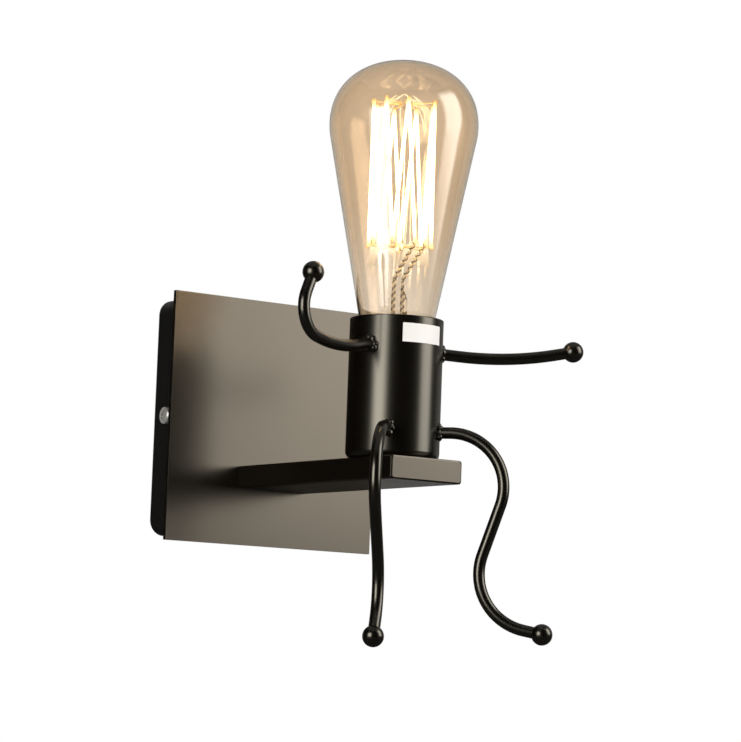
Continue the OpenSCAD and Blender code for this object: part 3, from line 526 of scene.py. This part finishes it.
nylon = grained_finish(
    "block_plastic", colour=(0.83, 0.81, 0.74, 1), shade=(0.78, 0.75, 0.67, 1),
    roughness=0.5, spread=0.1, bump=0.2)
rubber = grained_finish(
    "grommet_rubber", colour=(0.025, 0.025, 0.025, 1), shade=(0.018, 0.018, 0.018, 1),
    roughness=0.7, spread=0.1, bump=0.4)
brown_wire = grained_finish(
    "wire_brown", colour=(0.2, 0.08, 0.035, 1), shade=(0.16, 0.06, 0.025, 1),
    roughness=0.4, spread=0.1, bump=0.1)
blue_wire = grained_finish(
    "wire_blue", colour=(0.04, 0.14, 0.5, 1), shade=(0.03, 0.11, 0.42, 1),
    roughness=0.4, spread=0.1, bump=0.1)
green_wire = grained_finish(
    "wire_earth", colour=(0.08, 0.3, 0.05, 1), shade=(0.06, 0.24, 0.04, 1),
    roughness=0.4, spread=0.1, bump=0.1)
eased_piece("terminal_block", block_edge, "moulded_block", nylon, "block_plastic")
dress(brass, "terminal_inserts")
dress(zinc_steel, "terminal_clamp_screws", "terminal_fixing_screws", "earth_screw", "earth_ring_terminal")
dress(rubber, "wire_grommet")


def edges_of(ring):
    """The edges that join the vertices of a ring."""
    return list({edge for vert in ring for edge in vert.link_edges if edge.other_vert(vert) in ring})


def tube(shape, points, radius, sides):
    """Draws a round section along the points and closes both ends."""
    steps = [later - earlier for earlier, later in zip(points, points[1:])]
    ways = [step.normalized() for step in steps]
    tangents = [
        (before + after).normalized() for before, after in zip(ways[:1] + ways, ways + ways[-1:])]
    start = Matrix.Translation(points[0]) @ tangents[0].to_track_quat("Z", "Y").to_matrix().to_4x4()
    ring = bmesh.ops.create_circle(
        shape, cap_ends=True, segments=sides, radius=radius, matrix=start)["verts"]
    for place, step in enumerate(steps, 1):
        drawn = bmesh.ops.extrude_edge_only(shape, edges=edges_of(ring))["geom"]
        ring = [part for part in drawn if isinstance(part, bmesh.types.BMVert)]
        bend = tangents[place - 1].rotation_difference(tangents[place]).to_matrix()
        bmesh.ops.translate(shape, verts=ring, vec=step)
        bmesh.ops.rotate(shape, verts=ring, cent=points[place], matrix=bend)
    bmesh.ops.edgenet_fill(shape, edges=edges_of(ring))


def soft_route(corners, rounds):
    """The route in metres with its corners cut that many times, so that a wire bends in soft curves."""
    route = [Vector(corner) * mm for corner in corners]
    for _ in range(rounds):
        cut = [route[0]]
        for earlier, later in zip(route, route[1:]):
            cut += [earlier.lerp(later, 0.25), earlier.lerp(later, 0.75)]
        route = cut + [route[-1]]
    return route


def lamp_wire(name, material, slot, node_name, way_x, lane_x, end):
    """A wire from its way in the block, through the arm and the nipple, to its end of the lamp holder."""
    corners = [
        (way_x, bore_y, wire_tip_z),
        (way_x, bore_y, block_mouth_z),
        (gather_share * way_x, bore_y, gather_z),
        (lane_x, pan_run_y, pan_bend_z),
        (lane_x, pan_run_y, grommet_z),
        (lane_x, grommet_y, grommet_z),
        (lane_x, arm_entry_y, grommet_z),
        (lane_x, arm_run_y, arm_run_z),
        (lane_x, cup_axis_y + arm_run_end, arm_run_z),
        (lane_x, cup_axis_y + nipple_bend, arm_run_z),
        (lane_x, cup_axis_y, arm_run_z),
        (lane_x, cup_axis_y, arm_run_z + nipple_bend),
        (lane_x, cup_axis_y, nipple_low_z),
        (lane_x, cup_axis_y, nipple_top_z),
        (fan_share * lane_x, cup_axis_y + fan_start * end, terminal_wire_z),
        (0, cup_axis_y + fan_end * end, terminal_wire_z),
        (0, cup_axis_y + terminal_reach * end, terminal_wire_z),
    ]
    shape = bmesh.new()
    tube(shape, soft_route(corners, wire_softening), wire_radius, wire_sides)
    piece_from(shape, name, material, "fixture", slot, node_name)


def stripe_over(material, attribute_name, colour):
    """Lays a second colour over a grained finish where the piece's attribute is high."""
    tree = material.node_tree
    base = tree.nodes["Principled BSDF"].inputs["Base Color"]
    stripe = tree.nodes.new("ShaderNodeAttribute")
    stripe.attribute_name = attribute_name
    stripe_low = stripe_edge - stripe_blur
    stripe_high = stripe_edge + stripe_blur
    on_stripe = smooth_step(tree, stripe.outputs["Fac"], stripe_low, stripe_high)
    tree.links.new(mix_colour(tree, on_stripe, base.links[0].from_socket, colour), base)


lamp_wire("brown_lamp_wire", brown_wire, "wire_brown", "live_wire", -block_way_x, -wire_lane_x, 1)
lamp_wire("blue_lamp_wire", blue_wire, "wire_blue", "neutral_wire", 0, wire_lane_x, -1)
earth_corners = [
    (block_way_x, bore_y, wire_tip_z),
    (block_way_x, bore_y, block_mouth_z),
    (earth_bend_x, bore_y, earth_bend_z),
    earth_swing,
    (earth_return_x, earth_ring_y, earth_ring_z),
    (earth_crimp_x, earth_ring_y, earth_ring_z),
    (earth_ring_x, earth_ring_y, earth_ring_z),
]
shape = bmesh.new()
tube(shape, soft_route(earth_corners, wire_softening), wire_radius, wire_sides)
shape.normal_update()
stripe_layer = shape.verts.layers.float.new("stripe")
for vert in shape.verts:
    vert[stripe_layer] = abs(vert.normal.y)
piece_from(shape, "green_earth_wire", green_wire, "fixture", "wire_earth", "earth_wire")
stripe_over(green_wire, "stripe", stripe_yellow)

# Support arm
# A flat rectangular steel tube with a welded front cap, in the plate's paint.
# Two screws from inside the canopy hold it by a tapped block in its rear end.
arm_paint = grained_finish(
    "arm_paint", colour=warm_black, shade=warm_black_shade,
    roughness=0.25, spread=0.02, bump=0.06, specular=1.0, tint=warm_gloss)
dress(arm_paint, "support_arm", "arm_front_cap")
dress(zinc_steel, "arm_rear_block", "arm_fixing_screws")

# Lamp cup
# A drawn and turned steel cup in satin black-brown paint, open at the top and clamped to the arm.
# A small blank film label is stuck below its rim.
cup_gloss = (1.0, 0.96, 0.83, 1)
cup_black = grained_finish(
    "cup_black", colour=(0.0026, 0.0017, 0.0007, 1), shade=(0.002, 0.0013, 0.0005, 1),
    roughness=0.26, spread=0.02, bump=0.05, specular=1.0, tint=cup_gloss)
label_film = grained_finish(
    "label_white", colour=(0.88, 0.88, 0.87, 1), shade=(0.83, 0.83, 0.82, 1),
    roughness=0.5, spread=0.1, bump=0.1)
dress(cup_black, "lamp_cup")
dress(label_film, "blank_label")

# Limbs
# Four bent steel rods with balls pushed on their ends, welded to the cup and painted glossy black with it.
# The paint covers the lumps of the welds at the roots.
cup_radius = 20 * mm
weld_ring_radius = 2.8 * mm
weld_ring_spread = (0.85, 1.2)
weld_step_spread = (-0.25, 0.25)
weld_lump_radius = 1.35 * mm
weld_lump_spread = (0.7, 1.3)
weld_rise_spread = (-0.3, 0.6)
weld_voxel = 0.2 * mm
weld_flow = 0.5
weld_flow_rounds = 5
limb_black = grained_finish(
    "limb_black", colour=(0.0024, 0.0017, 0.001, 1), shade=(0.0018, 0.0013, 0.0008, 1),
    roughness=0.24, spread=0.03, bump=0.08, specular=1.0, tint=cup_gloss)
dress(limb_black, "left_arm_rod", "right_arm_rod", "left_leg_rod", "right_leg_rod")
dress(limb_black, "left_hand_ball", "right_hand_ball", "left_foot_ball", "right_foot_ball")


def weld(name, azimuth_deg, height, lumps, seed):
    """A ring of weld lumps that have run together round the root of a rod on the cup."""
    chance = random.Random(seed)
    out = towards(math.radians(azimuth_deg), 0)
    turn = out.to_track_quat("Z", "Y")
    root = Vector((0, cup_axis_y * mm, height)) + out * cup_radius
    shape = bmesh.new()
    for lump in range(lumps):
        angle = 2 * math.pi * (lump + chance.uniform(*weld_step_spread)) / lumps
        ring = weld_ring_radius * chance.uniform(*weld_ring_spread)
        rise = weld_lump_radius * chance.uniform(*weld_rise_spread)
        place = root + turn @ Vector((ring * math.cos(angle), ring * math.sin(angle), rise))
        bmesh.ops.create_icosphere(
            shape, subdivisions=3, radius=weld_lump_radius * chance.uniform(*weld_lump_spread),
            matrix=Matrix.Translation(place))
    piece = piece_from(shape, name, limb_black, "fixture", "limb_black")
    melt = piece.modifiers.new("melt", "REMESH")
    melt.mode = "VOXEL"
    melt.voxel_size = weld_voxel
    melt.use_smooth_shade = True
    flow = piece.modifiers.new("flow", "SMOOTH")
    flow.factor = weld_flow
    flow.iterations = weld_flow_rounds


weld("left_arm_weld", azimuth_deg=-70, height=27.5 * mm, lumps=8, seed=3)
weld("right_arm_weld", azimuth_deg=70, height=26.5 * mm, lumps=8, seed=5)
weld("left_leg_weld", azimuth_deg=-44, height=-8 * mm, lumps=7, seed=7)
weld("right_leg_weld", azimuth_deg=44, height=-8 * mm, lumps=7, seed=11)

# Lamp holder inside the cup
# A hollow threaded nipple and two lock nuts clamp the cup to the arm. A bent steel bracket carries the
# glazed ceramic holder with its brass screw shell, centre contact, rivets and terminals.
ceramic = grained_finish(
    "ceramic_white", colour=(0.86, 0.84, 0.79, 1), shade=(0.82, 0.8, 0.74, 1),
    roughness=0.18, spread=0.06, bump=0.05)
dress(zinc_steel, "threaded_nipple", "nipple_nuts", "holder_bracket", "holder_bracket_screws")
dress(ceramic, "holder_body")
dress(brass, "holder_screw_shell", "holder_centre_contact", "holder_rivets", "holder_terminals")
dress(zinc_steel, "holder_terminal_screws")

# Bulb cap
# A rolled brass screw cap with a black glass insulator and a soldered tip contact.
# The round thread is rolled into the lower part, and the skirt above it holds the glass neck.
cap_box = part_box("bulb_screw_cap")
cap_low_z = cap_box[0][2]
cap_high_z = cap_box[1][2]
cap_radius = (cap_box[1][0] - cap_box[0][0]) / 2
bulb_axis = Vector((0, (cap_box[0][1] + cap_box[1][1]) / 2, 0))
thread_pitch = 3.629 * mm
thread_depth = 1.0 * mm
thread_run_out = 1.2 * mm
skirt_length = 8.5 * mm
cap_taper = 2.2 * mm
cap_wall = 0.35 * mm
cap_rows = 90
cap_steps = 72
pole_gap = 0.001 * mm
cap_brass = grained_finish(
    "cap_brass", colour=(0.75, 0.62, 0.4, 1), shade=(0.62, 0.5, 0.3, 1),
    roughness=0.26, spread=0.1, bump=0.1, metallic=1.0)
cap_glass = grained_finish(
    "cap_insulator", colour=(0.02, 0.018, 0.018, 1), shade=(0.03, 0.026, 0.026, 1),
    roughness=0.15, spread=0.05, bump=0.05)


def lathe(outline, steps):
    """Spins an outline of radius and height points once round the upright axis."""
    shape = bmesh.new()
    corners = [shape.verts.new((radius, 0, height)) for radius, height in outline]
    lines = [shape.edges.new(pair) for pair in zip(corners, corners[1:])]
    bmesh.ops.spin(
        shape, geom=corners + lines, cent=(0, 0, 0), axis=(0, 0, 1), angle=2 * math.pi, steps=steps,
        use_merge=True)
    bmesh.ops.remove_doubles(shape, verts=shape.verts, dist=pole_gap)
    bmesh.ops.recalc_face_normals(shape, faces=shape.faces)
    return shape


def ramp(value, low, high):
    """Goes smoothly from 0 at low to 1 at high."""
    share = min(max((value - low) / (high - low), 0.0), 1.0)
    return share * share * (3.0 - 2.0 * share)


cap_rise = (cap_high_z - cap_low_z) / cap_rows
cap_outline = [(cap_radius, cap_low_z + cap_rise * row) for row in range(cap_rows + 1)]
thread_low_z = cap_low_z + cap_taper
thread_high_z = cap_high_z - skirt_length
shape = lathe(cap_outline, cap_steps)
for vert in shape.verts:
    turns = math.atan2(vert.co.y, vert.co.x) / (2 * math.pi)
    groove = 0.5 - 0.5 * math.cos(2 * math.pi * (vert.co.z / thread_pitch - turns))
    rolled = ramp(vert.co.z, thread_low_z - thread_run_out, thread_low_z)
    rolled *= 1.0 - ramp(vert.co.z, thread_high_z, thread_high_z + thread_run_out)
    taper = thread_depth * (1.0 - ramp(vert.co.z, cap_low_z, thread_low_z))
    drawn_in = 1.0 - (thread_depth * groove * rolled + taper) / cap_radius
    vert.co.x *= drawn_in
    vert.co.y *= drawn_in
bmesh.ops.translate(shape, vec=bulb_axis, verts=shape.verts)
screw_cap = piece_from(shape, "rolled_screw_cap", cap_brass, "bulb", "cap_nickel", "bulb_screw_cap")
cap_sheet = screw_cap.modifiers.new("wall", "SOLIDIFY")
cap_sheet.thickness = cap_wall
cap_sheet.offset = -1.0
dress(cap_glass, "bulb_cap_insulator")
dress(bright_nickel, "bulb_tip_contact")

# Bulb glass
# A blown pear of thin amber glass, drawn in to a neck that is cemented in the cap.
# The coat of colour is thinnest at the neck and looks deeper where the wall is seen edge on.
glass_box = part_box("bulb_glass")
glass_low_z = glass_box[0][2]
glass_high_z = glass_box[1][2]
glass_radius = (glass_box[1][0] - glass_box[0][0]) / 2
glass_neck_radius = 12.2 * mm
glass_wall = 0.8 * mm
glass_dome_rise = 28 * mm
glass_dome_z = glass_high_z - glass_dome_rise
glass_dome_power = 2.2
glass_shoulder_low_z = 35 * mm
glass_shoulder_high_z = 41 * mm
glass_cone_slope = 0.195
glass_cone_blend = 5 * mm
glass_steps = 128
cone_rows = 40
dome_rows = 32
amber_coat = 0.4


def glass_finish(name, tint, low_tint, low_z, high_z, rim_tint, rim_blend, ior):
    """Thin glass with another tint at its low end, darker where it is seen edge on, that light passes."""
    material = bpy.data.materials.new(name)
    material.use_nodes = True
    tree = material.node_tree
    shader = tree.nodes["Principled BSDF"]
    place = tree.nodes.new("ShaderNodeTexCoord")
    height = tree.nodes.new("ShaderNodeSeparateXYZ")
    tree.links.new(place.outputs["Object"], height.inputs[0])
    up = smooth_step(tree, height.outputs["Z"], low_z, high_z)
    edge = tree.nodes.new("ShaderNodeLayerWeight")
    edge.inputs["Blend"].default_value = rim_blend
    wall_colour = mix_colour(tree, edge.outputs["Facing"], mix_colour(tree, up, low_tint, tint), rim_tint)
    tree.links.new(wall_colour, shader.inputs["Base Color"])
    shader.inputs["Roughness"].default_value = 0.0
    shader.inputs["IOR"].default_value = ior
    shader.inputs["Transmission Weight"].default_value = 1.0
    path = tree.nodes.new("ShaderNodeLightPath")
    clear = tree.nodes.new("ShaderNodeBsdfTransparent")
    clear.inputs["Color"].default_value = tint
    choose_glass = tree.nodes.new("ShaderNodeMixShader")
    tree.links.new(path.outputs["Is Shadow Ray"], choose_glass.inputs[0])
    tree.links.new(shader.outputs[0], choose_glass.inputs[1])
    tree.links.new(clear.outputs[0], choose_glass.inputs[2])
    tree.links.new(choose_glass.outputs[0], tree.nodes["Material Output"].inputs["Surface"])
    return material


def cone_radius(height):
    """Radius of the glass below its dome: it leaves the dome upright and then narrows evenly."""
    drop = glass_dome_z - height
    if drop < glass_cone_blend:
        return glass_radius - glass_cone_slope * drop * drop / (2 * glass_cone_blend)
    return glass_radius - glass_cone_slope * (drop - glass_cone_blend / 2)


glass_outline = []
for row in range(cone_rows + 1):
    height = glass_low_z + (glass_dome_z - glass_low_z) * row / cone_rows
    open_share = ramp(height, glass_shoulder_low_z, glass_shoulder_high_z)
    radius = glass_neck_radius + (cone_radius(height) - glass_neck_radius) * open_share
    glass_outline.append((radius, height))
for row in range(1, dome_rows + 1):
    angle = math.pi / 2 * row / dome_rows
    across = max(math.cos(angle), 0.0) ** (2 / glass_dome_power)
    up = math.sin(angle) ** (2 / glass_dome_power)
    glass_outline.append((glass_radius * across, glass_dome_z + glass_dome_rise * up))
amber_glass = glass_finish(
    "amber_glass", tint=(0.835, 0.708, 0.563, 1), low_tint=(0.875, 0.795, 0.7, 1),
    low_z=45 * mm, high_z=95 * mm, rim_tint=(0.56, 0.45, 0.305, 1), rim_blend=0.35, ior=1.58)
amber_shader = amber_glass.node_tree.nodes["Principled BSDF"]
amber_shader.inputs["Coat Weight"].default_value = amber_coat
shape = lathe(glass_outline, glass_steps)
bmesh.ops.translate(shape, vec=bulb_axis, verts=shape.verts)
blown_glass = piece_from(shape, "blown_glass", amber_glass, "bulb", "amber_glass", "bulb_glass")
blown_wall = blown_glass.modifiers.new("wall", "SOLIDIFY")
blown_wall.thickness = glass_wall
blown_wall.offset = -1.0

# Bulb filament and its mount
# A lead-glass stem carries two leads of twisted wire and a ring of fine hooks at each end of the cage.
# One long filament zigzags between the hooks and glows, hottest away from them.
cage_radius = 13.5 * mm
cage_low_z = 71.7 * mm
cage_high_z = 133.7 * mm
cage_gap_deg = 24
cage_gap_side_deg = -86
cage_corners = 16
stem_flare_radius = 11.3 * mm
stem_low_z = 26.7 * mm
stem_neck_z = 43.7 * mm
stem_press_radius = 4.2 * mm
stem_press_high_z = 56.7 * mm
stem_pinch_start = 0.3
stem_rod_radius = 1.4 * mm
stem_bead_radius = 2.4 * mm
stem_wall = 1.0 * mm
stem_hollow_top = 3 * mm
stem_hollow_shoulder = 5 * mm
stem_rows = 12
stem_steps = 48
clear_glass = glass_finish(
    "clear_glass", tint=(0.95, 0.93, 0.88, 1), low_tint=(0.93, 0.9, 0.84, 1),
    low_z=30 * mm, high_z=60 * mm, rim_tint=(0.8, 0.72, 0.6, 1), rim_blend=0.2, ior=1.1)
stem_outline = [
    (0, stem_neck_z - stem_hollow_top),
    (stem_press_radius - stem_wall, stem_neck_z - stem_hollow_shoulder),
    (stem_flare_radius - stem_wall, stem_low_z),
    (stem_flare_radius, stem_low_z),
]
for row in range(1, stem_rows + 1):
    share = row / stem_rows
    flare = stem_press_radius + (stem_flare_radius - stem_press_radius) * (1.0 - share) ** 2
    stem_outline.append((flare, stem_low_z + (stem_neck_z - stem_low_z) * share))
for row in range(1, stem_rows + 1):
    share = row / stem_rows
    pinch = ramp(share, stem_pinch_start, 1.0)
    pinched = stem_press_radius + (stem_rod_radius - stem_press_radius) * pinch
    stem_outline.append((pinched, stem_neck_z + (stem_press_high_z - stem_neck_z) * share))
for bead_z, least_radius in ((cage_low_z, stem_rod_radius), (cage_high_z, 0.0)):
    for row in range(1, stem_rows):
        angle = math.pi * row / stem_rows
        across = max(stem_bead_radius * math.sin(angle), least_radius)
        stem_outline.append((across, bead_z - stem_bead_radius * math.cos(angle)))
stem_outline.append((0, cage_high_z + stem_bead_radius))
shape = lathe(stem_outline, stem_steps)
bmesh.ops.translate(shape, vec=bulb_axis, verts=shape.verts)
piece_from(shape, "pressed_stem", clear_glass, "bulb", "clear_glass", "bulb_stem")


def cage_corner(number):
    """Where the filament turns: even corners are at the lower hooks and odd ones at the upper hooks."""
    start = cage_gap_side_deg + cage_gap_deg / 2
    angle = math.radians(start + (360 - cage_gap_deg) * number / cage_corners)
    height = cage_high_z if number % 2 else cage_low_z
    return bulb_axis + Vector((cage_radius * math.cos(angle), cage_radius * math.sin(angle), height))


# The filament, round at its turns
filament_radius = 0.7 * mm
filament_sides = 10
filament_turn = 1.1 * mm
filament_turn_cut = 0.15
filament_colour = (0.9, 0.7, 0.4, 1)
hook_heat = (0.22, 0.18, 0.07, 1)
middle_heat = (1.0, 0.9, 0.68, 1)
glow_reach = 9 * mm
glow_strength = 7.5
filament_route = [cage_corner(0)]
for number in range(1, cage_corners):
    corner = cage_corner(number)
    before = (cage_corner(number - 1) - corner).normalized()
    after = (cage_corner(number + 1) - corner).normalized()
    filament_route.append(corner + filament_turn * before)
    filament_route.append(corner + filament_turn_cut * filament_turn * (before + after))
    filament_route.append(corner + filament_turn * after)
filament_route.append(cage_corner(cage_corners))
filament_glow = bpy.data.materials.new("filament_glow")
filament_glow.use_nodes = True
glow_tree = filament_glow.node_tree
glow_shader = glow_tree.nodes["Principled BSDF"]
glow_place = glow_tree.nodes.new("ShaderNodeTexCoord")
glow_height = glow_tree.nodes.new("ShaderNodeSeparateXYZ")
glow_tree.links.new(glow_place.outputs["Object"], glow_height.inputs[0])
from_low_hook = math_node(glow_tree, "SUBTRACT", glow_height.outputs["Z"], cage_low_z)
from_high_hook = math_node(glow_tree, "SUBTRACT", cage_high_z, glow_height.outputs["Z"])
from_hook = math_node(glow_tree, "MINIMUM", from_low_hook, from_high_hook)
heat = smooth_step(glow_tree, from_hook, 0.0, glow_reach)
heat_colour = mix_colour(glow_tree, heat, hook_heat, middle_heat)
glow_tree.links.new(heat_colour, glow_shader.inputs["Emission Color"])
glow_shader.inputs["Base Color"].default_value = filament_colour
glow_shader.inputs["Emission Strength"].default_value = glow_strength
shape = bmesh.new()
tube(shape, filament_route, filament_radius, filament_sides)
piece_from(shape, "glowing_filament", filament_glow, "bulb", "filament_glow", "bulb_filament")

# The hooks, each a spoke from the stem's bead with a loop round the filament
hook_radius = 0.26 * mm
hook_sides = 8
hook_root = 1.8 * mm
hook_loop = 0.95 * mm
hook_loop_steps = 10
hook_loop_step_deg = 30
gold_wire = grained_finish(
    "gold_wire", colour=(1.0, 0.78, 0.36, 1), shade=(0.85, 0.6, 0.22, 1),
    roughness=0.42, spread=0.1, bump=0.05, metallic=1.0)
up_axis = Vector((0, 0, 1))
shape = bmesh.new()
for number in range(1, cage_corners):
    corner = cage_corner(number)
    out = Vector((corner.x - bulb_axis.x, corner.y - bulb_axis.y, 0)).normalized()
    route = [corner - out * (cage_radius - hook_root), corner - out * hook_loop]
    for step in range(1, hook_loop_steps + 1):
        angle = math.radians(180 - hook_loop_step_deg * step)
        route.append(corner + hook_loop * (out * math.cos(angle) + up_axis * math.sin(angle)))
    tube(shape, route, hook_radius, hook_sides)
piece_from(shape, "filament_hooks", gold_wire, "bulb", "lead_nickel", "bulb_filament_supports")

# The leads, each twisted from a bright and a dark strand
lead_spacing = 2.2 * mm
lead_low_z = 28.7 * mm
lead_elbow_z = 57.7 * mm
lead_strand_radius = 0.27 * mm
lead_strand_sides = 8
lead_twist_radius = 0.62 * mm
lead_twist_pitch = 3.0 * mm
lead_twist_rows = 12
dark_strand = (0.16, 0.12, 0.06, 1)
lead_wire = grained_finish(
    "lead_wire", colour=(1.0, 0.86, 0.55, 1), shade=(0.9, 0.74, 0.42, 1),
    roughness=0.42, spread=0.1, bump=0.05, metallic=1.0)
shape = bmesh.new()
strand_layer = shape.verts.layers.float.new("dark_strand")
for number, side in ((0, 1), (cage_corners, -1)):
    low = bulb_axis + Vector((side * lead_spacing, 0, lead_low_z))
    elbow = bulb_axis + Vector((side * lead_spacing, 0, lead_elbow_z))
    for start, end in ((low, elbow), (elbow, cage_corner(number))):
        span = end - start
        turn = span.to_track_quat("Z", "Y")
        twists = round(span.length / lead_twist_pitch)
        rows = twists * lead_twist_rows
        for phase, darkness in ((0, 0.0), (math.pi, 1.0)):
            finished = len(shape.verts)
            route = []
            for row in range(rows + 1):
                angle = phase + 2 * math.pi * twists * row / rows
                aside = Vector((math.cos(angle), math.sin(angle), 0)) * lead_twist_radius
                route.append(start + span * row / rows + turn @ aside)
            tube(shape, route, lead_strand_radius, lead_strand_sides)
            shape.verts.ensure_lookup_table()
            for vert in shape.verts[finished:]:
                vert[strand_layer] = darkness
piece_from(shape, "twisted_leads", lead_wire, "bulb", "lead_nickel", "bulb_lead_wires")
stripe_over(lead_wire, "dark_strand", dark_strand)
